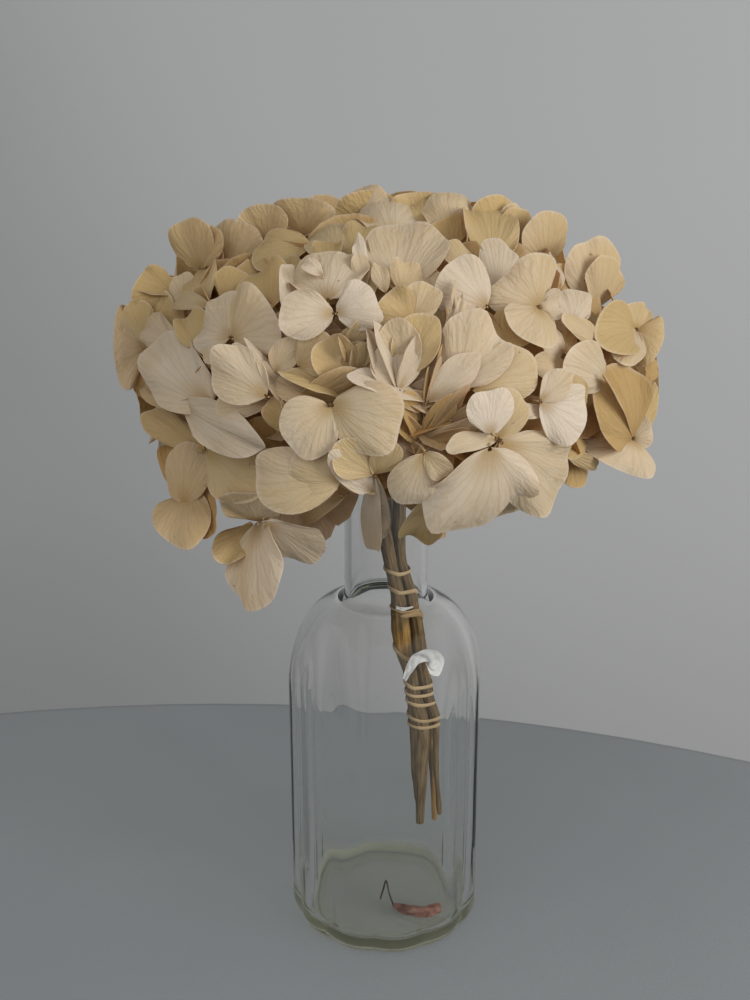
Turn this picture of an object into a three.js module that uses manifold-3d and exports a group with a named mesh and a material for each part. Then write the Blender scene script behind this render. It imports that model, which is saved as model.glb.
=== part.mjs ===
// Dried hydrangea heads standing in a fluted glass bottle.
// Millimetres, +Z up. The origin is the middle of the bottle's underside, and the viewer stands at -Y.
// An azimuth is turned from -Y towards +X, so 0 faces the viewer and 90 points to the right.

import * as THREE from 'three';
import Module from 'manifold-3d';
import { mergeVertices } from 'three/addons/utils/BufferGeometryUtils.js';

const wasm = await Module();
wasm.setup();

// ---- driving dimensions ------------------------------------------------------------------------

const GAP = 0.3;
const SMALLEST_EDGE = 0.02;

const BOTTLE = {
  footRadius: 31,
  bodyRadius: 37.5,
  heelHeight: 6.5,
  bodyMiddle: 50,
  shoulderStart: 99,
  shoulderTop: 133,
  shoulderAngle: 80,
  neckRadius: 15.6,
  neckStart: 136,
  neckTop: 179,
  lipRadius: 18.5,
  lipAcross: 3,
  lipRise: 3.2,
  lipAngle: -60,
  height: 186,
  mouthBevel: 1.2,
  mouthDepth: 2,
  wall: 2.4,
  insideDrop: 1,
  floor: 5,
  floorBevel: 3,
  floorRise: 4,
  flutes: 12,
  fluteDepth: 1.4,
  fluteTurn: -6.5,
  fluteEnd: 122,
  fluteFade: 25,
  columnsPerFlute: 4,
};

// Each stem is a list of stations: x, y, z and radius.
const STEMS = {
  stem_left: [
    [-3.4, -2.6, 186.8, 2.5],
    [-1.6, -4.4, 166, 2.5],
    [1.2, -5, 148, 2.6],
    [4, -5, 131, 2.8],
    [5, -4.8, 114, 3.8],
    [9.2, -4.6, 94, 3.2],
    [11.4, -4.2, 68, 3.3],
    [12.9, -3, 35, 0.9],
  ],
  stem_right: [
    [5.4, -3.2, 186.8, 2.5],
    [4.9, -0.2, 166, 2.5],
    [5.2, 0.2, 148, 2.5],
    [9.3, -0.8, 131, 2.6],
    [12.2, -0.6, 114, 2.9],
    [15.2, -1.4, 94, 3],
    [19.2, -2.4, 81, 4],
    [19.8, -2.6, 67, 3.1],
    [21.6, -3, 56, 3],
    [24, -3.6, 41, 2.6],
  ],
  stem_back: [
    [1.2, 6.6, 186.8, 2.6],
    [2.2, 9.6, 167, 2.7],
    [4.2, 7.4, 148, 2.7],
    [7.2, 5.8, 131, 2.9],
    [10.4, 6.2, 114, 2.9],
    [14.8, 6.4, 88, 3],
    [18.4, 6.4, 50, 3.1],
    [19.8, 6.4, 33.5, 3.2],
  ],
};
const STEM_SIDES = 8;
const STEM_STEP = 9;
const STEM_SAMPLES = 200;

// A leaning stem is wider across, level with the table, than its radius. A stem's last few
// millimetres are not bound.
const LEAN = 1.28;
const TWINE = {
  thickness: 1.2,
  unbound: 4,
  sides: 4,
  stepsPerTurn: 11,
  heights: [134.5, 131.5, 125.5, 119, 110, 99, 93.5, 89.8, 86, 82, 78.8],
};

// A strip is drawn through stations in its own plane, each with its width there, and then given
// its depth across that plane.
const PAPER_LOOP = {
  stations: [
    [6.9, 103.3, 1.6],
    [9.2, 108.6, 2.2],
    [12.4, 112, 3],
    [16.2, 112, 5.6],
    [19.6, 110.6, 4],
  ],
  depth: 4,
  back: -10.4,
};
const PAPER_SCRAP = {
  stations: [
    [3.4, 128.1, 2.6],
    [6.5, 128.7, 2.6],
    [9.6, 128.1, 2.6],
  ],
  depth: 0.7,
  back: -8.2,
};
const BARK = {
  stations: [
    [4, -11, 2.8],
    [9, -14, 2.8],
    [15, -15.2, 2.8],
    [21, -14.2, 2.8],
    [27, -11.5, 2.8],
  ],
  depth: 1.2,
};

const DOME = { middle: [0, 0, 214], across: 80, deep: 78, up: 54, down: 42 };
const LIMIT = { across: 97, deep: 93, up: 69.5, down: 90, boxiness: 3, start: 0.86 };

const HEADS = {
  head_left: { walls: [152.5, 280] },
  head_right: { walls: [280, 387.5] },
  head_back: { walls: [27.5, 152.5] },
};
const HEADS_MEET = [1, 1];
const CORE = { away: 31, across: 36, up: 34, height: 220, bump: 0.05 };

const PETAL = { thickness: 0.7, clearance: 0.6, nearest: 5 };
const HUB_RADIUS = 1.6;
const NEIGHBOUR_ROOM = 0.85;
const EYE_HEIGHT = 2.2;
const GOLDEN_ANGLE = 180 * (3 - Math.sqrt(5));

// How far the four sepals of a floret differ. Lengths are shares of the floret's size, widths are
// shares of the length, and the rest are degrees. The inner pair stands more upright.
const SEPAL = {
  shortest: 0.9,
  longest: 1.14,
  narrowest: 0.98,
  widest: 1.12,
  turnSwing: 10,
  cupSwing: 10,
  innerLift: 12,
  curlSwing: 40,
  innerFold: [5, 35],
  outerFold: [-15, 15],
  twistSwing: 24,
};

// What one step does to a sepal that would cross into the next head.
const STEP_BACK = { tries: 20, cup: 6, length: 0.94, width: 0.92 };

// Steps between the numbers that seed a floret's, a sepal's and a value's draw.
const SEED = { floret: 17.3, sepal: 3.7, value: 1.31 };

// The florets that face the viewer, set by hand: where the centre sits on the dome (azimuth,
// elevation, height above it), where it looks (azimuth, elevation), how far the first sepal is
// turned clockwise from upright, the sepals' length, how far they rise and how far they curl back.
const SHOWN = [
  [-84, 45, 0, -110, 55, 0, 23, 30, 0],
  [-83, 31, 0, -120, 15, 20, 22, 25, 0],
  [-81, 21, 2, -50, 5, 80, 20, 20, -30],
  [-40, 24, 2, -12, 18, 70, 17, 20, -20],
  [-25, 7, 4, -20, 10, -55, 17, 35, -10],
  [-56, 17, 0, -60, -15, 0, 23, 15, -10],
  [-58, -1, 0, -35, -40, 40, 24, 15, -10],
  [-60, -37, 0, -15, 5, -22, 18, 20, -20],
  [-46, -51, 8, -5, 5, 3, 20, 5, 0],
  [-11, -33, 4, -10, -60, 0, 22, 10, -15],
  [-11, 7, 6, -5, 20, 45, 18, 10, -25],
  [-1, -13, 10, 0, -45, 0, 19, 10, -20],
  [3, -6, 12, 10, -30, -5, 16, 15, -35],
  [19, -4, 10, 20, -5, 20, 23, 5, -15],
  [15, 10, 8, 15, 30, 10, 20, 45, -20],
  [-15, 34, 6, -15, 15, -40, 19, 10, -30],
  [1, 42, 2, 0, 65, 0, 21, 40, 0],
  [5, 29, 6, 10, 60, -20, 16, 60, 5],
  [2, 15, 6, 0, 55, 0, 18, 60, -10],
  [-23, 15, 4, -15, 25, 30, 15, 50, -10],
  [-79, 71, 0, -20, 70, 20, 24, 25, -10],
  [-26, 89, 0, 0, 80, 0, 24, 25, 0],
  [85, 76, 0, 15, 75, 0, 24, 25, 0],
  [43, 54, 4, 25, 50, 0, 23, 30, 0],
  [38, 31, 6, 25, 25, -45, 18, 20, -20],
  [84, 54, 0, 40, 60, 0, 23, 30, 0],
  [70, 29, 2, 35, 25, -40, 20, 25, -20],
  [80, 20, 2, 55, 15, 80, 18, 20, -20],
  [54, 9, 4, 40, 10, -60, 17, 30, -10],
  [71, -16, 2, 50, -10, 10, 18, 30, -10],
  [32, 4, 8, 25, 5, 10, 18, 20, -20],
  [19, 50, 4, 10, 60, 0, 22, 30, 0],
  [24, 22, 8, 20, 25, 60, 18, 25, -20],
  [-47, 43, 0, -20, 55, 0, 23, 30, 0],
  [-35, -11, 0, -15, -10, 30, 19, 20, 0],
];

// The rest of the dome is filled along a golden-angle spiral, from the crown down to the rim.
// The dome is flatter than a ball, so the places crowd towards its crown.
const FILL = {
  places: 48,
  reach: 1.4,
  crowding: 1.35,
  clear: 26,
  smallest: 22,
  largest: 26,
  flattest: 12,
  fullest: 36,
  flattestCurl: -30,
  yawSwing: 40,
  pitchSwing: 30,
  pitchLow: 0.3,
};

const COLOURS = {
  glass: 0xdfe4e2,
  stem: 0x7a6448,
  twine: 0xc7ab80,
  paper: 0xd8d4cc,
  bark: 0x8a4c36,
  sepals: 0xbfae90,
};

// ---- small helpers -----------------------------------------------------------------------------

const rad = THREE.MathUtils.degToRad;
const deg = THREE.MathUtils.radToDeg;

// A number between 0 and 1 that looks random and is the same on every run.
function draw(seed) {
  const s = Math.sin(seed * 12.9898) * 43758.5453;
  return s - Math.floor(s);
}

// The unit vector that points along an azimuth and an elevation.
function towards(azimuth, elevation) {
  const a = rad(azimuth);
  const e = rad(elevation);
  return new THREE.Vector3(Math.sin(a) * Math.cos(e), -Math.cos(a) * Math.cos(e), Math.sin(e));
}

// A closed geometry with its shared vertices merged, its collapsed triangles dropped and its
// faces pointing outwards.
function closed(geometry) {
  const bare = geometry.clone();
  bare.deleteAttribute('normal');
  bare.deleteAttribute('uv');
  const merged = mergeVertices(bare, 1e-3);
  const index = merged.index.array;
  const kept = [];
  const a = new THREE.Vector3();
  const b = new THREE.Vector3();
  const c = new THREE.Vector3();
  let volume = 0;
  for (let i = 0; i < index.length; i += 3) {
    const [p, q, r] = index.slice(i, i + 3);
    if (p === q || q === r || r === p) continue;
    kept.push(p, q, r);
    a.fromBufferAttribute(merged.attributes.position, p);
    b.fromBufferAttribute(merged.attributes.position, q);
    c.fromBufferAttribute(merged.attributes.position, r);
    volume += a.dot(b.cross(c));
  }
  merged.setIndex(volume < 0 ? kept.reverse() : kept);
  return merged;
}

function solidOf(geometry) {
  const merged = closed(geometry);
  return new wasm.Manifold(new wasm.Mesh({
    numProp: 3,
    vertProperties: new Float32Array(merged.attributes.position.array),
    triVerts: new Uint32Array(merged.index.array),
  }));
}

// The solids as one body, without the crumbs that are left where thin edges cross.
function joined(solids) {
  const bodies = wasm.Manifold.union(solids).simplify(SMALLEST_EDGE).decompose();
  return bodies.reduce((big, body) => (body.volume() > big.volume() ? body : big));
}

function geometryOf(solid) {
  const mesh = solid.getMesh();
  const geometry = new THREE.BufferGeometry();
  geometry.setAttribute('position', new THREE.BufferAttribute(mesh.vertProperties, mesh.numProp));
  geometry.setIndex(new THREE.BufferAttribute(mesh.triVerts, 1));
  return geometry;
}

function part(name, geometry, color, roughness, extra = {}) {
  const material = new THREE.MeshStandardMaterial({ color, roughness, metalness: 0, ...extra });
  const mesh = new THREE.Mesh(geometry, material);
  mesh.name = name;
  return mesh;
}

// ---- the bottle --------------------------------------------------------------------------------

// Points of an ellipse round (x, z), from one angle to another in degrees.
function arc(x, z, across, up, from, to, steps) {
  const points = [];
  for (let i = 0; i <= steps; i++) {
    const t = rad(from + (to - from) * i / steps);
    points.push([x + across * Math.cos(t), z + up * Math.sin(t)]);
  }
  return points;
}

// The wall's outline in the plane through the axis: up the outside, over the lip, down the inside.
// Each point carries the depth of the flutes there.
function bottleProfile() {
  const b = BOTTLE;
  const inner = b.bodyRadius - b.fluteDepth - b.wall;
  const neckInner = b.neckRadius - b.wall;
  const shoulder = b.bodyRadius - b.neckRadius;
  const rise = b.shoulderTop - b.shoulderStart;
  const heel = b.bodyRadius - b.footRadius;
  const insideStart = b.shoulderStart - b.insideDrop;
  const insideRise = rise - 2 * b.insideDrop;
  const outside = [
    [0, 0],
    ...arc(b.footRadius, b.heelHeight, heel, b.heelHeight, -90, 0, 2),
    [b.bodyRadius, b.bodyMiddle],
    ...arc(b.neckRadius, b.shoulderStart, shoulder, rise, 0, b.shoulderAngle, 4),
    [b.neckRadius, b.neckStart],
    [b.neckRadius, b.neckTop],
    ...arc(b.lipRadius - b.lipAcross, b.height - b.lipRise, b.lipAcross, b.lipRise, b.lipAngle, 90, 3),
  ];
  const inside = [
    [neckInner + b.mouthBevel, b.height],
    [neckInner, b.height - b.mouthDepth],
    [neckInner, b.neckStart - b.insideDrop],
    ...arc(neckInner, insideStart, inner - neckInner, insideRise, b.shoulderAngle, 0, 3),
    [inner, b.floor + b.floorRise],
    [inner - b.floorBevel, b.floor],
    [0, b.floor],
  ];
  const depthAt = (z) => b.fluteDepth * THREE.MathUtils.smoothstep(b.fluteEnd - z, 0, b.fluteFade);
  return {
    points: [...outside, ...inside].map(([x, z]) => new THREE.Vector2(x, z)),
    depths: [...outside.map(([x, z]) => (x > 0 ? depthAt(z) : 0)), ...inside.map(() => 0)],
  };
}

// The flutes are convex lobes that meet in sharp valleys: the wall stands back by the depth
// times the square of the distance from the lobe's middle.
function bottleGeometry() {
  const { points, depths } = bottleProfile();
  const columns = BOTTLE.flutes * BOTTLE.columnsPerFlute;
  const lathe = new THREE.LatheGeometry(points, columns, rad(BOTTLE.fluteTurn), Math.PI * 2);
  const position = lathe.attributes.position;
  for (let i = 0; i < position.count; i++) {
    const column = Math.floor(i / points.length);
    const across = 2 * (column % BOTTLE.columnsPerFlute) / BOTTLE.columnsPerFlute - 1;
    const x = position.getX(i);
    const z = position.getZ(i);
    const radius = Math.hypot(x, z);
    if (radius < 1e-6) continue;
    const kept = 1 - depths[i % points.length] * across * across / radius;
    position.setX(i, x * kept);
    position.setZ(i, z * kept);
  }
  return closed(lathe.rotateX(Math.PI / 2));
}

// ---- stems and twine ---------------------------------------------------------------------------

function stemCurve(stations) {
  return new THREE.CatmullRomCurve3(stations.map(([x, y, z]) => new THREE.Vector3(x, y, z)));
}

// The radius at a height, straight between the stations on either side.
function stemRadius(stations, z) {
  for (let i = 1; i < stations.length; i++) {
    const [above, below] = [stations[i - 1], stations[i]];
    if (z >= below[2]) {
      const t = (above[2] - z) / (above[2] - below[2]);
      return THREE.MathUtils.lerp(above[3], below[3], THREE.MathUtils.clamp(t, 0, 1));
    }
  }
  return stations.at(-1)[3];
}

// A unit tube along the curve, whose rings are then scaled to the radius at their height.
function stemGeometry(stations) {
  const curve = stemCurve(stations);
  const steps = Math.round(curve.getLength() / STEM_STEP);
  const section = new THREE.Shape();
  for (let i = 0; i < STEM_SIDES; i++) {
    const t = 2 * Math.PI * i / STEM_SIDES;
    if (i === 0) section.moveTo(1, 0);
    else section.lineTo(Math.cos(t), Math.sin(t));
  }
  const tube = new THREE.ExtrudeGeometry(section, { steps, extrudePath: curve, bevelEnabled: false });
  const rings = curve.getSpacedPoints(steps);
  const position = tube.attributes.position;
  const vertex = new THREE.Vector3();
  for (let i = 0; i < position.count; i++) {
    vertex.fromBufferAttribute(position, i);
    const ring = rings.reduce((near, p) => (
      p.distanceToSquared(vertex) < near.distanceToSquared(vertex) ? p : near));
    vertex.sub(ring).multiplyScalar(stemRadius(stations, ring.z)).add(ring);
    position.setXYZ(i, vertex.x, vertex.y, vertex.z);
  }
  return closed(tube);
}

// The centre and radius of each stem at a height, for the stems that reach it.
function sectionsAt(z) {
  const found = [];
  for (const stations of Object.values(STEMS)) {
    if (z < stations.at(-1)[2] + TWINE.unbound) continue;
    const points = stemCurve(stations).getPoints(STEM_SAMPLES);
    const centre = points.reduce((near, p) => (Math.abs(p.z - z) < Math.abs(near.z - z) ? p : near));
    found.push({ centre, radius: stemRadius(stations, z) });
  }
  return found;
}

// Twine drawn tight round the stems: in each direction it lies on the stem that reaches furthest.
function twineGeometry() {
  const { thickness, sides, stepsPerTurn, heights } = TWINE;
  const points = [];
  for (let turn = 1; turn < heights.length; turn++) {
    for (let i = 0; i < stepsPerTurn; i++) {
      const t = i / stepsPerTurn;
      const z = THREE.MathUtils.lerp(heights[turn - 1], heights[turn], t);
      const direction = towards(360 * t, 0);
      const reach = (s) => s.centre.dot(direction) + s.radius;
      const outermost = sectionsAt(z).reduce((far, s) => (reach(s) > reach(far) ? s : far));
      const away = outermost.radius * LEAN + thickness / 2 + GAP;
      const point = direction.clone().multiplyScalar(away).add(outermost.centre);
      points.push(point.setZ(z));
    }
  }
  const section = new THREE.Shape();
  for (let i = 0; i < sides; i++) {
    const t = 2 * Math.PI * (i + 0.5) / sides;
    if (i === 0) section.moveTo(thickness / 2 * Math.cos(t), thickness / 2 * Math.sin(t));
    else section.lineTo(thickness / 2 * Math.cos(t), thickness / 2 * Math.sin(t));
  }
  const curve = new THREE.CatmullRomCurve3(points, false, 'centripetal');
  return closed(new THREE.ExtrudeGeometry(section, {
    steps: points.length - 1,
    extrudePath: curve,
    bevelEnabled: false,
  }));
}

// ---- paper and bark ----------------------------------------------------------------------------

// A strip along a line of stations, half its width to either side, extruded by its depth.
function stripGeometry({ stations, depth }) {
  const line = stations.map(([x, y]) => new THREE.Vector2(x, y));
  const sideAt = (i) => {
    const before = line[Math.max(i - 1, 0)];
    const after = line[Math.min(i + 1, line.length - 1)];
    const along = after.clone().sub(before).normalize();
    return new THREE.Vector2(-along.y, along.x).multiplyScalar(stations[i][2] / 2);
  };
  const upper = line.map((p, i) => p.clone().add(sideAt(i)));
  const lower = line.map((p, i) => p.clone().sub(sideAt(i))).reverse();
  const outline = new THREE.Shape([...upper, ...lower]);
  return closed(new THREE.ExtrudeGeometry(outline, { depth, bevelEnabled: false }));
}

// A strip that faces the viewer, with its back at y = back.
function paperGeometry(strip) {
  return stripGeometry(strip).rotateX(Math.PI / 2).translate(0, strip.back, 0);
}

// ---- florets -----------------------------------------------------------------------------------

// A point further out than the head's rounded box is drawn back to it, softly.
function withinLimit(point) {
  const { across, deep, up, down, boxiness, start } = LIMIT;
  const middle = new THREE.Vector3(...DOME.middle);
  const offset = point.clone().sub(middle);
  const level = Math.hypot(offset.x / across, offset.y / deep);
  const height = Math.abs(offset.z) / (offset.z > 0 ? up : down);
  const reach = (level ** boxiness + height ** boxiness) ** (1 / boxiness);
  if (reach <= start) return point;
  const kept = start + (1 - start) * Math.tanh((reach - start) / (1 - start));
  return middle.add(offset.multiplyScalar(kept / reach));
}

function onDome(azimuth, elevation, lift) {
  const along = towards(azimuth, elevation);
  const height = (elevation > 0 ? DOME.up : DOME.down) + lift;
  const scale = new THREE.Vector3(DOME.across + lift, DOME.deep + lift, height);
  return along.multiply(scale).add(new THREE.Vector3(...DOME.middle));
}

// The heads press together along three upright walls. These are a head's two walls, as the
// directions that lead from each into the head.
function wallNormals(walls) {
  const [first, second] = walls.map(rad);
  return [
    new THREE.Vector3(-Math.sin(first), Math.cos(first), 0),
    new THREE.Vector3(Math.sin(second), -Math.cos(second), 0),
  ];
}

// How far a point lies inside a head, from the wall with this normal.
function depthFrom(normal, point) {
  return normal.x * (point.x - HEADS_MEET[0]) + normal.y * (point.y - HEADS_MEET[1]);
}

function depthInHead(normals, point) {
  return Math.min(...normals.map((normal) => depthFrom(normal, point)));
}

// The point moved straight away from any wall that is nearer than the distance.
function movedClear(normals, point, distance) {
  const moved = point.clone();
  for (const normal of normals) {
    moved.addScaledVector(normal, Math.max(0, distance - depthFrom(normal, moved)));
  }
  return moved;
}

function floretList() {
  const florets = SHOWN.map(([azimuth, elevation, lift, yaw, pitch, roll, size, cup, curl]) => ({
    centre: onDome(azimuth, elevation, lift), looks: towards(yaw, pitch), roll, size, cup, curl,
  }));
  for (let i = 0; i < FILL.places; i++) {
    const height = 1 - ((i + 0.5) / FILL.places) ** FILL.crowding * FILL.reach;
    const centre = onDome(90 + i * GOLDEN_ANGLE, deg(Math.asin(height)), 0);
    if (florets.some((f) => f.centre.distanceTo(centre) < FILL.clear)) continue;
    const middle = new THREE.Vector3(...DOME.middle);
    const outward = centre.clone().sub(middle);
    const yaw = deg(Math.atan2(outward.x, -outward.y)) + FILL.yawSwing * (draw(i + 0.1) - 0.5);
    const rise = deg(Math.asin(outward.normalize().z));
    const pitch = rise + FILL.pitchSwing * (draw(i + 0.2) - FILL.pitchLow);
    florets.push({
      centre,
      looks: towards(yaw, pitch),
      roll: 90 * draw(i + 0.3),
      size: THREE.MathUtils.lerp(FILL.smallest, FILL.largest, draw(i + 0.4)),
      cup: THREE.MathUtils.lerp(FILL.flattest, FILL.fullest, draw(i + 0.5)),
      curl: FILL.flattestCurl * (1 - draw(i + 0.6)),
    });
  }
  return florets;
}

// Where a sepal's cut rows run, from root to tip: v along its length, its half width there as a
// share of the whole, and the places across it, from its right edge to its left.
const SEPAL_ROWS = [
  [0.3, 0.68, [-1, 0, 1]],
  [0.72, 1, [-1, 0, 1]],
  [1, 0.48, [-1, 1]],
];

// The sepal's middle surface. It leaves the root along `out`, rises from it by the cup angle
// and bends by the curl on its way, its sides lift by the fold and it winds by the twist. It is
// never wider than the quarter turn that it shares with its neighbours, so they don't cross.
function sepalPoints(root, out, looks, sepal) {
  const side = looks.clone().cross(out);
  const cup = rad(sepal.cup);
  const bend = rad(sepal.curl) || 1e-6;
  const points = [];
  for (const [v, share, places] of SEPAL_ROWS) {
    const angle = cup + bend * v;
    const along = sepal.length * (Math.sin(angle) - Math.sin(cup)) / bend;
    const rise = sepal.length * (Math.cos(cup) - Math.cos(angle)) / bend;
    const normal = out.clone().multiplyScalar(-Math.sin(angle)).addScaledVector(looks, Math.cos(angle));
    const twist = rad(sepal.twist) * v;
    const across = side.clone().multiplyScalar(Math.cos(twist)).addScaledVector(normal, Math.sin(twist));
    const lift = normal.clone().multiplyScalar(Math.cos(twist)).addScaledVector(side, -Math.sin(twist));
    const fold = rad(sepal.fold) * v + 1e-6;
    const half = Math.min(sepal.width / 2 * share, NEIGHBOUR_ROOM * (HUB_RADIUS + along));
    for (const u of places) {
      const point = root.clone().addScaledVector(out, along).addScaledVector(looks, rise);
      point.addScaledVector(across, half * Math.sin(fold * u) / fold);
      point.addScaledVector(lift, half * (1 - Math.cos(fold * u)) / fold);
      points.push(withinLimit(point));
    }
  }
  return points;
}

// A sepal that would cross into the next head is folded up and shortened until it is clear.
function clearSepalPoints(root, out, looks, sepal, normals) {
  for (let tried = 0; tried < STEP_BACK.tries; tried++) {
    const points = sepalPoints(root, out, looks, sepal);
    if (points.every((p) => depthInHead(normals, p) > PETAL.clearance)) return points;
    sepal.cup += STEP_BACK.cup;
    sepal.length *= STEP_BACK.length;
    sepal.width *= STEP_BACK.width;
  }
  throw new Error('a floret stands too near to the next head');
}

// One floret as a single closed blade: four broad sepals round a small hub whose middle is the
// raised eye, and behind it the stalk, which tapers down to its foot inside the head's core.
// Both faces are split into the same triangles.
function floretGeometry(floret, number, foot, normals) {
  const { looks, roll, size, cup, curl } = floret;
  const centre = movedClear(normals, floret.centre, PETAL.nearest);
  const up = new THREE.Vector3(0, 0, 1);
  if (Math.abs(looks.z) > 0.95) up.set(0, 1, 0);
  up.addScaledVector(looks, -up.dot(looks)).normalize();
  const right = up.clone().cross(looks);
  const outAt = (turn) => up.clone().multiplyScalar(Math.cos(rad(turn)))
    .addScaledVector(right, Math.sin(rad(turn)));
  const points = [centre.clone()];
  for (let j = 0; j < 4; j++) {
    points.push(centre.clone().addScaledVector(outAt(roll + 90 * j + 45), HUB_RADIUS));
  }
  const faces = [];
  const edge = [];
  for (let j = 0; j < 4; j++) {
    const r = (k) => draw(number * SEED.floret + j * SEED.sepal + k * SEED.value);
    const out = outAt(roll + 90 * j + SEPAL.turnSwing * (r(0) - 0.5));
    const length = size * THREE.MathUtils.lerp(SEPAL.shortest, SEPAL.longest, r(1));
    const inner = j % 2;
    const fold = inner ? SEPAL.innerFold : SEPAL.outerFold;
    const sepal = {
      length,
      width: length * THREE.MathUtils.lerp(SEPAL.narrowest, SEPAL.widest, r(2)),
      cup: cup + SEPAL.cupSwing * (r(3) - 0.5) + SEPAL.innerLift * inner,
      curl: curl + SEPAL.curlSwing * (r(4) - 0.5),
      fold: THREE.MathUtils.lerp(...fold, r(5)),
      twist: SEPAL.twistSwing * (r(6) - 0.5),
    };
    const root = centre.clone().addScaledVector(out, HUB_RADIUS * Math.SQRT1_2);
    const first = points.length;
    points.push(...clearSepalPoints(root, out, looks, sepal, normals));
    const rootRight = 1 + j;
    const rootLeft = 1 + (j + 3) % 4;
    const [r1, m1, l1, r2, m2, l2, tipRight, tipLeft] = [0, 1, 2, 3, 4, 5, 6, 7].map((k) => first + k);
    faces.push(
      [0, rootRight, rootLeft],
      [rootRight, r1, m1], [rootRight, m1, rootLeft], [rootLeft, m1, l1],
      [r1, r2, m2], [r1, m2, m1], [m1, m2, l2], [m1, l2, l1],
      [r2, tipRight, m2], [tipRight, tipLeft, m2], [tipLeft, l2, m2],
    );
    edge.unshift(rootRight, r1, r2, tipRight, tipLeft, l2, l1);
  }
  const blade = bladeGeometry(points, faces, edge, PETAL.thickness);
  const eye = centre.clone().addScaledVector(looks, EYE_HEIGHT);
  blade.attributes.position.setXYZ(0, eye.x, eye.y, eye.z);
  blade.attributes.position.setXYZ(points.length, foot.x, foot.y, foot.z);
  return blade;
}

// A closed blade round a middle surface. The edge runs round it with the upper face on its left.
function bladeGeometry(points, faces, edge, thickness) {
  const normals = points.map(() => new THREE.Vector3());
  for (const [a, b, c] of faces) {
    const u = points[b].clone().sub(points[a]);
    const w = points[c].clone().sub(points[a]);
    const n = u.cross(w);
    for (const i of [a, b, c]) normals[i].add(n);
  }
  normals.forEach((n) => n.normalize());
  const upper = points.map((p, i) => p.clone().addScaledVector(normals[i], thickness / 2));
  const lower = points.map((p, i) => p.clone().addScaledVector(normals[i], -thickness / 2));
  const count = points.length;
  const index = faces.flatMap(([a, b, c]) => [a, b, c, a + count, c + count, b + count]);
  edge.forEach((a, i) => {
    const b = edge[(i + 1) % edge.length];
    index.push(a, a + count, b + count, a, b + count, b);
  });
  return new THREE.BufferGeometry().setFromPoints([...upper, ...lower]).setIndex(index);
}

// ---- heads -------------------------------------------------------------------------------------

// The crowded stalks in the middle of a head, as one lumpy core, with the head's own short stalk
// under it that stands on the stem's cut top.
function coreSolids(walls, normals, stemTop) {
  const bearing = rad((walls[0] + walls[1]) / 2);
  const middle = new THREE.Vector3(
    HEADS_MEET[0] + CORE.away * Math.cos(bearing),
    HEADS_MEET[1] + CORE.away * Math.sin(bearing),
    CORE.height,
  );
  const lump = new THREE.IcosahedronGeometry(1, 1);
  const position = lump.attributes.position;
  const radii = new THREE.Vector3(CORE.across, CORE.across, CORE.up);
  const vertex = new THREE.Vector3();
  for (let i = 0; i < position.count; i++) {
    vertex.fromBufferAttribute(position, i);
    const waves = Math.sin(7 * vertex.x + 2) + Math.sin(6 * vertex.y + 5 * vertex.z);
    vertex.multiplyScalar(1 + CORE.bump * waves).multiply(radii);
    const clear = movedClear(normals, vertex.add(middle), PETAL.clearance);
    position.setXYZ(i, clear.x, clear.y, Math.max(clear.z, BOTTLE.height + GAP));
  }
  const [x, y, z, radius] = stemTop;
  const bottom = z + 2 * GAP;
  const height = CORE.height - bottom;
  const stalk = new THREE.CylinderGeometry(radius, radius, height, STEM_SIDES);
  stalk.rotateX(Math.PI / 2).translate(x, y, bottom + height / 2);
  return { middle, solids: [solidOf(lump), solidOf(stalk)] };
}

function headGeometry(walls, stemTop, florets) {
  const normals = wallNormals(walls);
  const core = coreSolids(walls, normals, stemTop);
  const solids = [...core.solids];
  florets.forEach((floret, number) => {
    if (depthInHead(normals, floret.centre) <= 0) return;
    solids.push(solidOf(floretGeometry(floret, number, core.middle, normals)));
  });
  return geometryOf(joined(solids));
}

// ---- the object --------------------------------------------------------------------------------

const hydrangeas = new THREE.Group();
hydrangeas.name = 'hydrangeas_in_bottle';

const seeThrough = { transparent: true, opacity: 0.35 };
hydrangeas.add(part('bottle', bottleGeometry(), COLOURS.glass, 0.06, seeThrough));

for (const [name, stations] of Object.entries(STEMS)) {
  hydrangeas.add(part(name, stemGeometry(stations), COLOURS.stem, 0.85));
}
hydrangeas.add(part('twine', twineGeometry(), COLOURS.twine, 0.9));
hydrangeas.add(part('paper_loop', paperGeometry(PAPER_LOOP), COLOURS.paper, 0.9));
hydrangeas.add(part('paper_scrap', paperGeometry(PAPER_SCRAP), COLOURS.paper, 0.9));
const bark = part('bark_sliver', stripGeometry(BARK), COLOURS.bark, 0.85);
bark.position.z = BOTTLE.floor + GAP;
hydrangeas.add(bark);

const florets = floretList();
const stemTops = {
  head_left: STEMS.stem_left[0],
  head_right: STEMS.stem_right[0],
  head_back: STEMS.stem_back[0],
};
for (const [name, { walls }] of Object.entries(HEADS)) {
  hydrangeas.add(part(name, headGeometry(walls, stemTops[name], florets), COLOURS.sepals, 0.8));
}

export default hydrangeas;
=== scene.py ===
# %% [markdown]
# # Dried hydrangeas in a glass bottle
# Three dried heads stand in a clear fluted bottle, their bare stems bound with twine. This lesson
# builds the looks round the fixed frame: every piece is worked out as numpy arrays in millimetres
# and put into a mesh, because papery sepals, moulded glass and wound fibre are all surfaces that
# a short formula can give.

# %% The frame
import math

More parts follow.
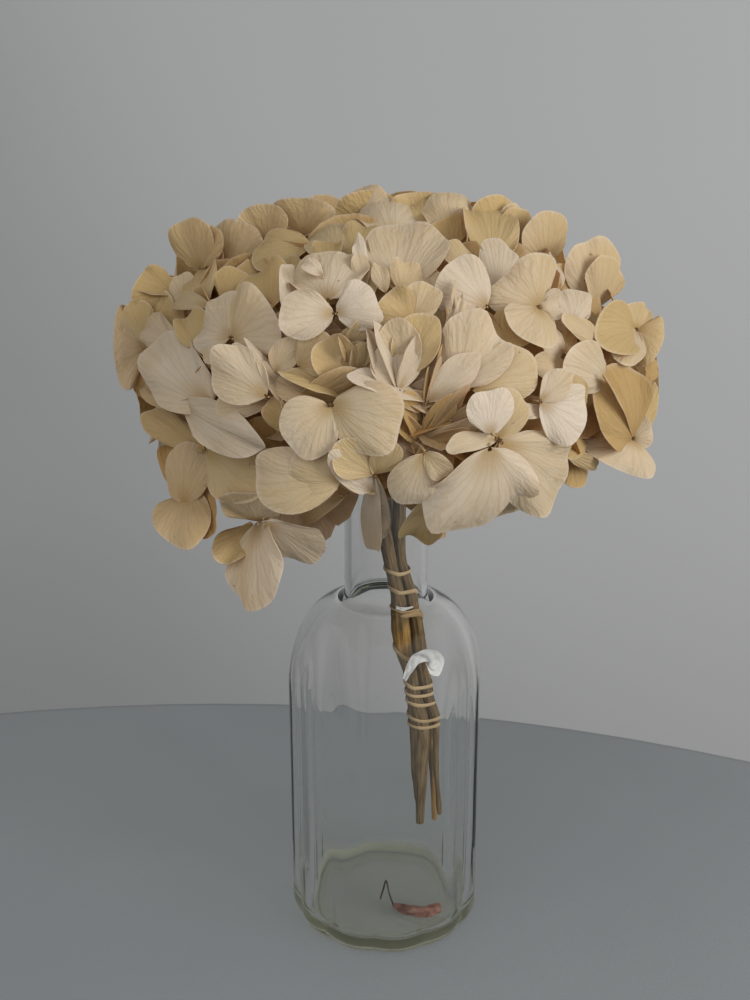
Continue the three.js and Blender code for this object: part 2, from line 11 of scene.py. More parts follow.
import bpy
import numpy as np
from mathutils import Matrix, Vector


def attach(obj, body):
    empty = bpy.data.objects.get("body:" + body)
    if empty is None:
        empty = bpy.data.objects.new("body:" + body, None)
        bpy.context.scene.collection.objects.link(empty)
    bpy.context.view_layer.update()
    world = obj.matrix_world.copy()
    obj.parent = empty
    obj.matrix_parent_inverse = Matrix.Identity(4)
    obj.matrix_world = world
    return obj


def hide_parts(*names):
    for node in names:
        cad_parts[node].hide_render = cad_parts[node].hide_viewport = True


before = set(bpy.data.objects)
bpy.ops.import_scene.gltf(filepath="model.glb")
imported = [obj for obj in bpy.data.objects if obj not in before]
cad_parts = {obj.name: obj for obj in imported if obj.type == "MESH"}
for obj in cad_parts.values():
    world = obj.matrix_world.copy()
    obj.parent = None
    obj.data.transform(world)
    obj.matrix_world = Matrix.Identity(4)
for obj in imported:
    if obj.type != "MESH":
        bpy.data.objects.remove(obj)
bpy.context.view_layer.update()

# %% [markdown]
# ## Surfaces as grids
# Nearly every piece here is a grid: rows and columns of points, with a quad between each four
# neighbours. Modifiers or a loop over vertices could make it too, but whole arrays are short and
# fast, and the same lines then serve one stem and eight hundred sepals.

# %% Faces of a grid
MM = 0.001


def grid_faces(rows, columns, closed=False):
    """Quads between neighbouring rows of a grid, round to the first column where it is closed."""
    r = np.arange(rows - 1)[:, None]
    c = np.arange(columns if closed else columns - 1)[None, :]
    d = (c + 1) % columns
    quad = [r * columns + c, r * columns + d, (r + 1) * columns + d, (r + 1) * columns + c]
    return np.stack(np.broadcast_arrays(*quad), axis=-1).reshape(-1, 4)


print("3 x 4 points:", len(grid_faces(3, 4)), "faces, or", len(grid_faces(3, 4, closed=True)), "closed")

# %% [markdown]
# ## Arrays into a mesh
# A piece of the model needs its points, its faces and the values that its material reads.
# foreach_set hands over whole arrays at once.

# %% A new piece
def new_piece(name, points, faces, material, values=None, uv=None, sharp=50):
    """A mesh object that rides on the bottle: points in mm, faces as a list of arrays of quads and
    triangles, values as an attribute on each point, and edges sharper than an angle kept crisp."""
    mesh = bpy.data.meshes.new(name)
    mesh.vertices.add(len(points))
    mesh.vertices.foreach_set("co", (np.asarray(points) * MM).astype(np.float32).ravel())
    corners = np.concatenate([face.ravel() for face in faces]).astype(np.int32)
    sides = np.concatenate([np.full(len(face), face.shape[1]) for face in faces])
    mesh.loops.add(len(corners))
    mesh.loops.foreach_set("vertex_index", corners)
    mesh.polygons.add(len(sides))
    mesh.polygons.foreach_set("loop_start", (np.cumsum(sides) - sides).astype(np.int32))
    mesh.update(calc_edges=True)
    mesh.validate()
    if uv is not None:
        layer = mesh.uv_layers.new(name="UVMap")
        layer.data.foreach_set("uv", uv[corners].astype(np.float32).ravel())
    for key, value in (values or {}).items():
        vector = np.ndim(value) == 2
        attribute = mesh.attributes.new(key, "FLOAT_VECTOR" if vector else "FLOAT", "POINT")
        attribute.data.foreach_set("vector" if vector else "value", np.ravel(value).astype(np.float32))
    mesh.shade_smooth()
    mesh.set_sharp_from_angle(angle=math.radians(sharp))
    mesh.materials.append(material)
    piece = bpy.data.objects.new(name, mesh)
    bpy.context.scene.collection.objects.link(piece)
    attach(piece, "root")
    print(f"{name}: {len(points)} points, {int(np.sum(sides - 2))} triangles")
    return piece


# %% [markdown]
# ## Nodes from Python
# A material is a small graph. One helper adds a node, sets its values and links what is passed as
# another node's output, so that each finish further down reads as a recipe.

# %% Node helper
class Finish:
    """A new material, with one method that adds a node and wires its inputs."""

    def __init__(self, name):
        self.material = bpy.data.materials.new(name)
        self.material.use_nodes = True
        self.tree = self.material.node_tree
        self.tree.nodes.clear()
        self.output = self.tree.nodes.new("ShaderNodeOutputMaterial")

    def add(self, kind, inputs=None, output=0, **settings):
        """Adds a node and gives back one of its outputs."""
        node = self.tree.nodes.new("ShaderNode" + kind)
        for key, value in settings.items():
            setattr(node, key, value)
        for key, value in (inputs or {}).items():
            if isinstance(value, bpy.types.NodeSocket):
                self.tree.links.new(value, node.inputs[key])
            else:
                node.inputs[key].default_value = value
        return node.outputs[output]

    def math(self, operation, a, b=0.0, clamp=False):
        """A sum, product or the like of two numbers, held between 0 and 1 when clamped."""
        return self.add("Math", {0: a, 1: b}, operation=operation, use_clamp=clamp)

    def fade(self, value, low, high, to_low=0.0, to_high=1.0):
        """A smooth step from one value to another as the input goes from low to high."""
        inputs = {0: value, 1: low, 2: high, 3: to_low, 4: to_high}
        return self.add("MapRange", inputs, interpolation_type="SMOOTHSTEP")

    def noise(self, vector, scale, detail=2.0, rough=0.5, distort=0.0):
        """Soft noise: scale is the lumps to a unit, detail the finer layers on top."""
        inputs = {"Vector": vector, "Scale": scale, "Detail": detail, "Roughness": rough}
        return self.add("TexNoise", {**inputs, "Distortion": distort})

    def colour(self, share, first, second, blend="MIX"):
        """The first colour mixed with a share of the second."""
        inputs = {0: share, 6: first, 7: second}
        return self.add("Mix", inputs, output=2, data_type="RGBA", blend_type=blend)

    def stretched(self, vector, scale):
        """The place, scaled by axis: a small scale draws a pattern out along that axis."""
        return self.add("Mapping", {"Vector": vector, "Scale": scale})

    def value(self, name, output="Fac"):
        """A value that new_piece stored on the points."""
        return self.add("Attribute", output=output, attribute_name=name)

    def bump(self, height, strength, distance):
        """A normal tilted as if the surface rose by the height times the distance in metres."""
        return self.add("Bump", {"Height": height, "Strength": strength, "Distance": distance})

    def surface(self, shader):
        """Ends the graph with a shader and gives back the material."""
        self.tree.links.new(shader, self.output.inputs["Surface"])
        return self.material


# %% [markdown]
# ## The camera
# The bottle's edges and ellipses in the photograph fix the camera: its height, how far it looks
# down and how long its lens is. Blender's camera looks along its own -Z, so a turn about X by 90
# degrees less the dip aims it at the bottle.

# %% Camera
FRAME = (750, 1000)
CAMERA_AT = (-4.07, -372, 270.5)
CAMERA_DOWN = 15.1
LENS = 37.44
SENSOR = 36
NEAREST_SEEN = 10

camera = bpy.data.objects.new("camera", bpy.data.cameras.new("camera"))
camera.data.lens = LENS
camera.data.sensor_width = SENSOR
camera.data.clip_start = NEAREST_SEEN * MM
camera.location = [v * MM for v in CAMERA_AT]
camera.rotation_euler = (math.radians(90 - CAMERA_DOWN), 0, 0)
bpy.context.scene.collection.objects.link(camera)
bpy.context.scene.camera = camera
bpy.context.scene.view_settings.view_transform = "Standard"
print("camera", CAMERA_AT, "looks down", CAMERA_DOWN)

# %% [markdown]
# ## The table
# The bottle stands on a round table under a grey-blue cloth. A disc whose rim turns down in a
# quarter circle is enough, because only a stretch of its edge is seen. Rows go out from the
# middle and over the rim, and columns go round. A table is no part of the object, so it is staged.

# %% Table
TABLE = {"middle": (-94, -456), "radius": 645, "edge": 14, "skirt": 90, "rings": (0, 200, 400)}
TABLE_COLUMNS = 120
CLOTH = {"dark": (0.265, 0.285, 0.295, 1), "light": (0.285, 0.305, 0.315, 1)}


def staged(name, points, faces, material):
    mesh = bpy.data.meshes.new(name)
    mesh.from_pydata((np.asarray(points) * MM).tolist(), [], faces)
    mesh.shade_smooth()
    mesh.materials.append(material)
    thing = bpy.data.objects.new(name, mesh)
    bpy.context.scene.collection.objects.link(thing)
    return thing


turn = np.linspace(0, np.pi / 2, 7)
rim_radius = TABLE["radius"] - TABLE["edge"] * (1 - np.sin(turn))
rim_height = TABLE["edge"] * (np.cos(turn) - 1)
table_radius = np.concatenate([TABLE["rings"], rim_radius, [TABLE["radius"]]])
table_height = np.concatenate([np.zeros(len(TABLE["rings"])), rim_height, [-TABLE["skirt"]]])
around = np.linspace(0, 2 * np.pi, TABLE_COLUMNS, endpoint=False)
table_points = np.stack([
    TABLE["middle"][0] + table_radius[:, None] * np.cos(around),
    TABLE["middle"][1] + table_radius[:, None] * np.sin(around),
    np.broadcast_to(table_height[:, None], (len(table_height), len(around))),
], axis=-1).reshape(-1, 3)
f = Finish("table_cloth")
at = f.add("TexCoord", output="Object")
cloud = f.noise(at, 5, 3)
cloth_colour = f.colour(f.fade(cloud, 0.3, 0.7), CLOTH["dark"], CLOTH["light"])
weave = f.bump(f.noise(at, 900, 2), 0.12, 0.0006)
cloth = f.surface(f.add("BsdfPrincipled", {"Base Color": cloth_colour, "Roughness": 0.9, "Normal": weave}))
staged("table", table_points, grid_faces(len(table_radius), TABLE_COLUMNS, closed=True).tolist(), cloth)
print("table", 2 * TABLE["radius"], "mm across")

# %% [markdown]
# ## The wall
# Behind the bottle is a plain pale wall, darker at the upper left and lighter at the lower right,
# where the window reaches it. One quad with a smooth fade in its paint gives that, with no need
# for a second lamp that would fall on the flowers too.

# %% Wall
WALL = {
    "distance": 900, "across": 3200, "low": -900, "high": 2300,
    "shade": (0.335, 0.34, 0.345, 1), "lit": (0.425, 0.43, 0.435, 1), "cloud": (0.6, 0.6, 0.6, 1),
}
# The fade runs along x + rise times z, both in metres.
WALL_FADE = {"start": -0.45, "end": 0.1, "rise": 0.55}

half, back = WALL["across"] / 2, WALL["distance"]
low, high = WALL["low"], WALL["high"]
wall_points = [(-half, back, low), (half, back, low), (half, back, high), (-half, back, high)]
f = Finish("wall_paint")
at = f.add("TexCoord", output="Object")
place = f.add("SeparateXYZ", {0: at}).node.outputs
sideways = f.math("ADD", place[0], f.math("MULTIPLY", place[2], WALL_FADE["rise"]))
reached = f.fade(sideways, WALL_FADE["start"], WALL_FADE["end"])
wall_colour = f.colour(reached, WALL["shade"], WALL["lit"])
wall_colour = f.colour(f.fade(f.noise(at, 2, 3), 0.3, 0.7, 0, 0.06), wall_colour, WALL["cloud"])
paint = f.surface(f.add("BsdfPrincipled", {"Base Color": wall_colour, "Roughness": 0.95}))
staged("wall", wall_points, [(0, 1, 2, 3)], paint)
print("wall", WALL["distance"], "mm behind the bottle")

# %% [markdown]
# ## Light
# One broad soft light from the right does what the window does, and a wider, weaker one near the
# viewer stands for the rest of the room. Both are hidden from reflections and from light that
# has passed through glass, where they would show as hard bright rectangles.

# %% Lights
WORLD = {"colour": (1.0, 0.995, 0.985, 1), "strength": 0.30}
AIM = (0, 0, 0.2)
LIGHTS = {
    "window": {"at": (1.35, -0.85, 0.55), "size": 1.0, "watts": 25, "colour": (1.0, 0.99, 0.97)},
    "room": {"at": (-0.5, -1.3, 0.9), "size": 1.6, "watts": 12, "colour": (0.97, 0.98, 1.0)},
}

world = bpy.data.worlds.new("room")
world.use_nodes = True
backdrop = world.node_tree.nodes["Background"]
backdrop.inputs["Color"].default_value = WORLD["colour"]
backdrop.inputs["Strength"].default_value = WORLD["strength"]
bpy.context.scene.world = world

for name, lamp in LIGHTS.items():
    light = bpy.data.objects.new(name, bpy.data.lights.new(name, "AREA"))
    light.data.size = lamp["size"]
    light.data.energy = lamp["watts"]
    light.data.color = lamp["colour"]
    light.location = lamp["at"]
    light.visible_glossy = False
    light.visible_transmission = False
    light.rotation_euler = (Vector(AIM) - Vector(lamp["at"])).to_track_quat("-Z", "Y").to_euler()
    bpy.context.scene.collection.objects.link(light)
print("lights:", list(LIGHTS))

# %% [markdown]
# ## The glass bottle
# The real bottle is pressed in a mould: twelve shallow convex flutes outside, a round shoulder, a
# long neck, a rolled lip and a thick floor. A lathe would give a plain round bottle, so the wall
# is a grid instead. Its rows follow an outline, drawn here in radius and height from the foot over
# the lip and down the inside, with every round stretch as an arc.

# %% Bottle outline
BOTTLE = {
    "foot": 31, "body": 37.5, "heel": 6.5, "shoulder": 99, "shoulder_top": 133,
    "neck": 15.6, "neck_top": 179, "lip": 18.5, "lip_across": 3, "lip_rise": 3.2, "height": 186,
    "wall": 2.4, "floor": 5, "floor_corner": 5, "underside": 1.0, "floor_middle": 0.7,
    "flutes": 12, "flute_depth": 1.4, "flute_turn": -6.5, "flute_end": 122, "flute_fade": 25,
    "crease_end": 30, "crease_fade": 20, "foot_share": 0.55, "foot_rise": 4,
}
INSIDE = {"flute_depth": 1.27, "uneven": 0.035}


def arc(x, z, across, up, start, end, steps):
    """Points round a stretch of an ellipse: middle plus radii times cosine and sine."""
    t = np.radians(np.linspace(start, end, steps))
    return np.stack([x + across * np.cos(t), z + up * np.sin(t)], axis=-1)


b = BOTTLE
inner = b["body"] - b["flute_depth"] - b["wall"]
neck_inner = b["neck"] - b["wall"]
rise = b["shoulder_top"] - b["shoulder"]
corner = b["floor_corner"]
outside = np.concatenate([
    [[6, 0.9], [14, 0.7], [24, 0.3], [b["foot"] - 1.2, 0]],
    arc(b["foot"], b["heel"], b["body"] - b["foot"], b["heel"], -90, 0, 12),
    np.linspace((b["body"], 9), (b["body"], b["shoulder"] - 3), 34),
    arc(b["neck"], b["shoulder"], b["body"] - b["neck"], rise, 0, 80, 26),
    np.linspace((b["neck"] + 0.6, b["shoulder_top"] + 1), (b["neck"], b["shoulder_top"] + 4), 3),
    np.linspace((b["neck"], b["shoulder_top"] + 7), (b["neck"], b["neck_top"]), 12),
    arc(b["lip"] - b["lip_across"], b["height"] - b["lip_rise"], b["lip_across"], b["lip_rise"], -60, 90, 10),
])
inside = np.concatenate([
    [[neck_inner + 1.4, b["height"] - 0.1], [neck_inner + 0.4, b["height"] - 0.9]],
    np.linspace((neck_inner, b["height"] - 2.4), (neck_inner, b["shoulder_top"] + 2), 12),
    arc(neck_inner, b["shoulder"] - 1, inner - neck_inner, rise - 2, 82, 0, 22),
    np.linspace((inner, b["shoulder"] - 5), (inner, b["floor"] + 6), 30),
    arc(inner - corner, b["floor"] + corner, corner, corner, 0, -86, 8),
    [[20, b["floor"] + 0.25], [10, b["floor"] + 0.6]],
])
print("bottle outline:", len(outside), "points outside,", len(inside), "inside")

# %% [markdown]
# ## Flutes pressed into the wall
# Each point of the outline becomes a ring, and the flutes are pressed in by a formula: soft waves
# on the body, meeting in creases only near the foot, as a mould leaves them. The inside follows
# them a little more shallowly and is faintly uneven, which bends the light into upright streaks.
# Were it smooth and round, each flute would work as a lens and swell the stems behind it.

# %% Bottle rings
COLUMNS_PER_FLUTE = 16


def mixed(low, high, share):
    """The value at a share of the way from low to high."""
    return low + (high - low) * share


def towards(azimuth, elevation):
    """The unit vector along an azimuth, turned from -Y towards +X, and an elevation."""
    a, e = np.broadcast_arrays(np.radians(azimuth), np.radians(elevation))
    return np.stack([np.sin(a) * np.cos(e), -np.cos(a) * np.cos(e), np.sin(e)], axis=-1)


columns = b["flutes"] * COLUMNS_PER_FLUTE
bearing = np.linspace(0, 360, columns, endpoint=False)
lobe = ((bearing - b["flute_turn"]) / (360 / b["flutes"])) % 1
soft_flute = (1 + np.cos(2 * np.pi * lobe)) / 2
creased_flute = (2 * lobe - 1) ** 2


def bottle_rings(profile, depth, uneven):
    """Radius = profile - depth x flute, plus slow waves. The flute is a cosine on the body, and
    near the foot the square of the distance from the flute's middle, which leaves a crease."""
    r, z = profile[:, :1], profile[:, 1:]
    share = np.clip((b["flute_end"] - z) / b["flute_fade"], 0, 1)
    low = np.clip(z / b["foot_rise"], 0, 1) * np.clip(r / b["foot"], 0, 1)
    fade = share * share * (3 - 2 * share) * mixed(b["foot_share"], 1, low)
    a = np.radians(bearing)
    waves = np.sin(3 * a + z / 17) + np.sin(7 * a - z / 29 + 1.7) + 0.6 * np.sin(12 * a + z / 11 + 0.4)
    creased = np.clip((b["crease_end"] - z) / b["crease_fade"], 0, 1)
    pressed = mixed(soft_flute, creased_flute, creased)
    radius = r - depth * fade * pressed + uneven * waves * np.clip(r / inner, 0, 1) ** 2
    height = np.broadcast_to(z, radius.shape)
    spoke = towards(bearing, 0)
    return np.stack([radius * spoke[:, 0], radius * spoke[:, 1], height], axis=-1)


rows = len(outside) + len(inside)
rings = np.concatenate([
    bottle_rings(outside, b["flute_depth"], 0.0),
    bottle_rings(inside, INSIDE["flute_depth"], INSIDE["uneven"]),
]).reshape(-1, 3)
middles = [[0, 0, b["underside"]], [0, 0, b["floor"] + b["floor_middle"]]]
glass_points = np.concatenate([rings, middles])
walls = grid_faces(rows, columns, closed=True)
ring = np.arange(columns)
following = (ring + 1) % columns
last = (rows - 1) * columns
foot_fan = np.stack([following, ring, np.full(columns, rows * columns)], axis=-1)
floor_fan = np.stack([last + ring, last + following, np.full(columns, rows * columns + 1)], axis=-1)
print("bottle:", rows, "rings of", columns, "points, closed by two fans")

# %% [markdown]
# ## Clear glass
# Glass is a transmitting surface with an index of refraction, and its faint green comes from the
# depth of glass that light crosses. So the tint is an absorption inside the body, which hardly
# shows in the thin wall. Light trapped in the thick heel makes the real one glow a cloudy olive.
# A path tracer rarely finds those paths, so the lowest millimetres get a matt, light-passing
# share instead, a painted olive glow. Shadow rays see clear film, because glass throws almost no shadow.

# %% Glass finish
GLASS = {
    "surface": (0.997, 1.0, 0.996, 1), "painted_heel_glow": (0.38, 0.375, 0.27, 1), "glow": (0.45, 0.445, 0.32, 1),
    "shadow": (0.97, 0.975, 0.965, 1), "depth": (0.66, 0.70, 0.46, 1),
}
# Heights and distances from the axis in metres, each with the share of painted olive glow there.
HEEL_HEIGHT = {"low": 0.001, "high": 0.0052, "at_low": 0.65, "at_high": 0.0}
HEEL_SPREAD = {"low": 0.018, "high": 0.033, "at_low": 0.45, "at_high": 1.0}

f = Finish("clear_glass")
at = f.add("TexCoord", output="Object")
seeds = f.noise(f.stretched(at, (1, 1, 0.25)), 70, 2)
glass = f.add("BsdfPrincipled", {
    "Base Color": GLASS["surface"], "Roughness": 0.015, "IOR": 1.48, "Transmission Weight": 1.0,
    "Normal": f.bump(seeds, 0.06, 0.0008),
})
height = f.add("SeparateXYZ", {0: at}).node.outputs[2]
# The painted heel glow: a matt olive surface with a translucent share, standing in for trapped light.
painted_heel_glow = f.add("BsdfPrincipled", {"Base Color": GLASS["painted_heel_glow"], "Roughness": 0.5})
glow = f.add("BsdfTranslucent", {"Color": GLASS["glow"]})
painted_heel_glow = f.add("MixShader", {0: 0.5, 1: painted_heel_glow, 2: glow})
spread = f.add("VectorMath", {0: f.stretched(at, (1, 1, 0))}, output=1, operation="LENGTH")
at_heel = f.math("MULTIPLY", f.fade(height, *HEEL_HEIGHT.values()), f.fade(spread, *HEEL_SPREAD.values()))
body = f.add("MixShader", {0: at_heel, 1: glass, 2: painted_heel_glow})
shadow = f.add("BsdfTransparent", {"Color": GLASS["shadow"]})
is_shadow = f.add("LightPath", output="Is Shadow Ray")
clear_glass = f.surface(f.add("MixShader", {0: is_shadow, 1: body, 2: shadow}))
absorbed = f.add("VolumeAbsorption", {"Color": GLASS["depth"], "Density": 5.0})
f.tree.links.new(absorbed, f.output.inputs["Volume"])
glass_faces = [walls, foot_fan, floor_fan]
bottle = new_piece("glass_bottle", glass_points, glass_faces, clear_glass, sharp=60)
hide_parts("bottle")

# %% [markdown]
# ## Lines and tubes
# Stems, twine and stalks are all tubes: a smooth line through a few stations, with a ring of
# points round each of its places. A curve object with a bevel gives only a smooth pipe, so the
# rings are worked out here, and the radius can then differ from point to point.

# %% Lines and tubes
def unit(vectors):
    """Each vector divided by its length."""
    return vectors / np.maximum(np.linalg.norm(vectors, axis=-1, keepdims=True), 1e-9)


def smooth_line(stations, steps):
    """A centripetal Catmull-Rom line: cubics whose end slopes weigh the neighbouring stations by
    the square roots of their distances."""
    p = np.vstack([2 * stations[0] - stations[1], stations, 2 * stations[-1] - stations[-2]])
    gap = np.sqrt(np.linalg.norm(np.diff(p, axis=0), axis=1))[:, None]
    p0, p1, p2, p3 = p[:-3], p[1:-2], p[2:-1], p[3:]
    g0, g1, g2 = gap[:-2], gap[1:-1], gap[2:]
    m1 = ((p1 - p0) / g0 - (p2 - p0) / (g0 + g1) + (p2 - p1) / g1) * g1
    m2 = ((p2 - p1) / g1 - (p3 - p1) / (g1 + g2) + (p3 - p2) / g2) * g1
    t = np.linspace(0, 1, steps, endpoint=False)[None, :, None]
    a, m, c, n = [x[:, None, :] for x in (p1, m1, p2, m2)]
    line = (2 * t**3 - 3 * t**2 + 1) * a + (t**3 - 2 * t**2 + t) * m
    line = line + (3 * t**2 - 2 * t**3) * c + (t**3 - t**2) * n
    return np.vstack([line.reshape(-1, p.shape[1]), stations[-1:]])


def run_along(line):
    """The distance from a line's start to each of its points: the running sum of its steps."""
    return np.concatenate([[0], np.cumsum(np.linalg.norm(np.diff(line, axis=0), axis=1))])


def tube_points(path, radius, reference, sides):
    """Rings across a path, whose first direction is the reference laid square to the path:
    centre + radius x (first direction x cosine + second direction x sine)."""
    along = unit(np.gradient(path, axis=-2))
    first = unit(reference - np.sum(reference * along, axis=-1, keepdims=True) * along)
    second = np.cross(along, first)
    turn = np.linspace(0, 2 * np.pi, sides, endpoint=False)[:, None]
    spoke = first[..., None, :] * np.cos(turn) + second[..., None, :] * np.sin(turn)
    return path[..., None, :] + spoke * radius[..., None]


def tube_faces(rings, sides):
    """The tube's side, and a fan at each end round a middle point that follows the rings."""
    ring = np.arange(sides)
    following = (ring + 1) % sides
    last = (rings - 1) * sides
    start = np.stack([following, ring, np.full(sides, rings * sides)], axis=-1)
    end = np.stack([last + ring, last + following, np.full(sides, rings * sides + 1)], axis=-1)
    return grid_faces(rings, sides, closed=True), np.vstack([start, end])


def repeated(faces, count, step):
    """The same faces for each of count copies whose points follow each other in steps."""
    return (faces[None] + np.arange(count)[:, None, None] * step).reshape(-1, faces.shape[1])


def tubes(path, radius, reference, sides):
    """Points and faces of several closed tubes at once: path is tubes x rings x 3."""
    if radius.ndim == path.ndim - 1:
        radius = np.broadcast_to(radius[..., None], radius.shape + (sides,))
    rings = tube_points(path, radius, reference, sides)
    count, steps = path.shape[:2]
    points = np.concatenate([rings.reshape(count, -1, 3), path[:, [0, -1]]], axis=1)
    side, ends = tube_faces(steps, sides)
    step = steps * sides + 2
    return points.reshape(-1, 3), [repeated(side, count, step), repeated(ends, count, step)]


print("a tube of 10 rings with 8 sides:", sum(len(part) for part in tube_faces(10, 8)), "faces")

# %% [markdown]
# ## The stems
# Each stem is a woody tube: it swells where side shoots grew and thins where it was torn. The
# stations were read from the photograph. Ridges and lumps are then added to the radius,
# and each point keeps its place in the bark, so that the finish can run along a bent stem.

# %% Stem shapes
# Each station is x, y, z and the radius, in mm.
STEMS = {
    "stem_left": [
        (-3.4, -2.6, 186.8, 2.5), (-1.6, -4.4, 166, 2.5), (1.6, -5, 148, 2.5), (4.3, -5, 135, 2.6),
        (5.6, -4.9, 120, 3.7), (6.8, -4.8, 111.5, 3.0), (9.2, -4.7, 103.5, 2.5), (10.6, -4.6, 93, 2.4),
        (12.2, -4.4, 83, 3.4), (12.7, -4.3, 75.5, 3.6), (12.7, -4.1, 62.5, 2.7), (12.9, -3.6, 45.5, 1.35),
        (12.9, -3.3, 38, 1.1),
    ],
    "stem_right": [
        (5.4, -3.2, 186.8, 2.5), (4.9, -0.2, 166, 2.5), (5.4, 0.2, 148, 2.4), (9.2, -0.8, 134, 2.5),
        (12.2, -0.6, 117, 2.6), (14.5, -1.2, 98, 2.6), (15.4, -1.6, 91, 2.6), (18.9, -2.3, 85, 3.2),
        (20.0, -2.5, 79, 2.5), (20.2, -2.6, 67, 2.1), (20.3, -2.7, 64, 2.4), (20.7, -2.8, 61, 1.9),
        (21.7, -3.0, 54, 1.65), (22.9, -3.3, 46.5, 2.2), (23.5, -3.4, 42.5, 1.9),
    ],
    "stem_back": [
        (1.2, 6.6, 186.8, 2.6), (2.2, 9.4, 167, 2.6), (4.2, 7.4, 148, 2.7), (7.2, 5.8, 131, 2.9),
        (10.4, 6.2, 114, 2.9), (14.8, 6.4, 88, 2.9), (18.8, 6.4, 60, 2.8), (20.2, 6.4, 48, 2.9),
        (20.9, 6.4, 37, 2.8), (20.5, 6.4, 34, 2.1),
    ],
}
STEM_SIDES = 28
STEP_PER_STATION = 22
STEM_RELIEF = {"base": 0.97, "ridge": 0.035, "fine_ridge": 0.025, "lump": 0.05}
GRAIN_RADIUS = 3
# Where the bark is orange rather than brown-grey: height, reach and strength of each patch.
AMBER = {
    "stem_left": [(118, 9, 0.5), (150, 25, 0.25)],
    "stem_right": [(126, 14, 0.35), (104, 6, 0.3)],
    "stem_back": [(38, 16, 1.0), (80, 20, 0.35)],
}
# Where it is peeled pale: height, reach and bearing.
PEELED = {"stem_left": (78, 3.6, 10), "stem_right": (64, 1.6, 0), "stem_back": (55, 5, 0)}


def stem_piece(name, stations, material):
    """Radius = station radius x (1 + long ridges + slow lumps), closed with flat torn ends. A
    patch of colour fades as e to the power of minus (distance / reach) squared."""
    stations = np.array(stations)
    line = smooth_line(stations[:, :3], STEP_PER_STATION)
    radius = np.interp(-line[:, 2], -stations[:, 2], stations[:, 3])
    turn = np.linspace(0, 2 * np.pi, STEM_SIDES, endpoint=False)[None, :]
    z = line[:, 2:3]
    relief = STEM_RELIEF["base"] + STEM_RELIEF["ridge"] * np.sin(5 * turn + z / 13)
    relief = relief + STEM_RELIEF["fine_ridge"] * np.sin(9 * turn - z / 21 + 2)
    relief = relief + STEM_RELIEF["lump"] * np.sin(z / 5.3 + 2 * turn) * np.sin(z / 14)
    radius = radius[:, None] * relief
    points, faces = tubes(line[None], radius[None], np.array([1.0, 0, 0]), STEM_SIDES)
    length = run_along(line)
    grain = [GRAIN_RADIUS * np.cos(turn), GRAIN_RADIUS * np.sin(turn), length[:, None]]
    grain = np.stack(np.broadcast_arrays(*grain), axis=-1).reshape(-1, 3)
    grain = np.concatenate([grain, [[0, 0, 0], [0, 0, length[-1]]]])
    amber = sum(s * np.exp(-(((points[:, 2] - h) / reach) ** 2)) for h, reach, s in AMBER[name])
    height, reach, bearing = PEELED[name]
    facing = np.cos(np.broadcast_to(turn, radius.shape) + math.radians(90 + bearing)).ravel()
    facing = np.clip(np.concatenate([facing, [1, 1]]), 0, 1)
    peeled = np.exp(-(((points[:, 2] - height) / reach) ** 2)) * facing
    values = {"grain": grain, "amber": np.clip(amber, 0, 1), "peeled": peeled}
    piece = new_piece(name + "_bark", points, faces, material, values)
    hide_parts(name)
    print(name, "is", round(float(length[-1])), "mm long")
    return piece


# %% [markdown]
# ## Dry bark
# The bark is brown-grey with darker fibres along it, orange where the skin is fresh and pale
# where it has peeled. The pattern has to follow each bent stem, so it reads the grain attribute,
# which holds the place round the stem and along it, and squeezes the noise along its length.

# %% Bark finish
BARK = {
    "dark_brown": (0.085, 0.056, 0.027, 1), "brown": (0.215, 0.15, 0.078, 1),
    "dark_orange": (0.20, 0.11, 0.034, 1), "orange": (0.42, 0.25, 0.085, 1), "peeled": (0.40, 0.31, 0.23, 1),
}

f = Finish("dry_bark")
grain = f.value("grain", "Vector")
fibres = f.noise(f.stretched(grain, (0.9, 0.9, 0.07)), 1.6, 4, 0.6)
blotch = f.noise(f.stretched(grain, (0.3, 0.3, 0.1)), 1.3, 3, 0.6)
brown = f.colour(f.fade(fibres, 0.35, 0.65), BARK["dark_brown"], BARK["brown"])
orange = f.colour(f.fade(fibres, 0.3, 0.7), BARK["dark_orange"], BARK["orange"])
fresh = f.fade(f.math("ADD", f.value("amber"), f.math("SUBTRACT", blotch, 0.5)), 0.25, 0.6)
skin = f.colour(fresh, brown, orange)
torn = f.math("MULTIPLY", f.math("SUBTRACT", fibres, 0.5), 1.2)
pale = f.fade(f.math("ADD", f.value("peeled"), torn), 0.35, 0.6)
dry_bark = f.surface(f.add("BsdfPrincipled", {
    "Base Color": f.colour(pale, skin, BARK["peeled"]), "Roughness": f.fade(fibres, 0.2, 0.8, 0.9, 0.7),
    "Normal": f.bump(fibres, 0.7, 0.0012),
}))

for name, stations in STEMS.items():
    stem_piece(name, stations, dry_bark)

# %% [markdown]
# ## The twine
# Flat plant fibre is wound tight round the three stems. In each direction it lies on the stem
# that reaches furthest, so its path is the outline of the bundle, followed down a spiral. The
# strand is a ribbon rather than a cord, so the tube along that path has a flat oval section.

# %% Twine
# The height that the spiral has reached after each full turn.
TWINE_HEIGHTS = [149, 144.7, 137.2, 127.3, 110.5, 98.1, 94.8, 91.4, 84.9, 82, 80]
TWINE_GAP = 0.1
TWINE_STEPS = 11
TWINE_FINE = 6
STRAND = {"across": 0.7, "deep": 0.24, "sides": 12, "patch": 4, "narrowest": 0.85, "swing": 0.3}
STRAND_END = {"across": 0.2, "widening": 8}


def draw(seed):
    """A number from 0 to 1 that looks random: the fraction of a large multiple of a sine."""
    large = np.sin(np.asarray(seed, float) * 12.9898) * 43758.5453
    return large - np.floor(large)


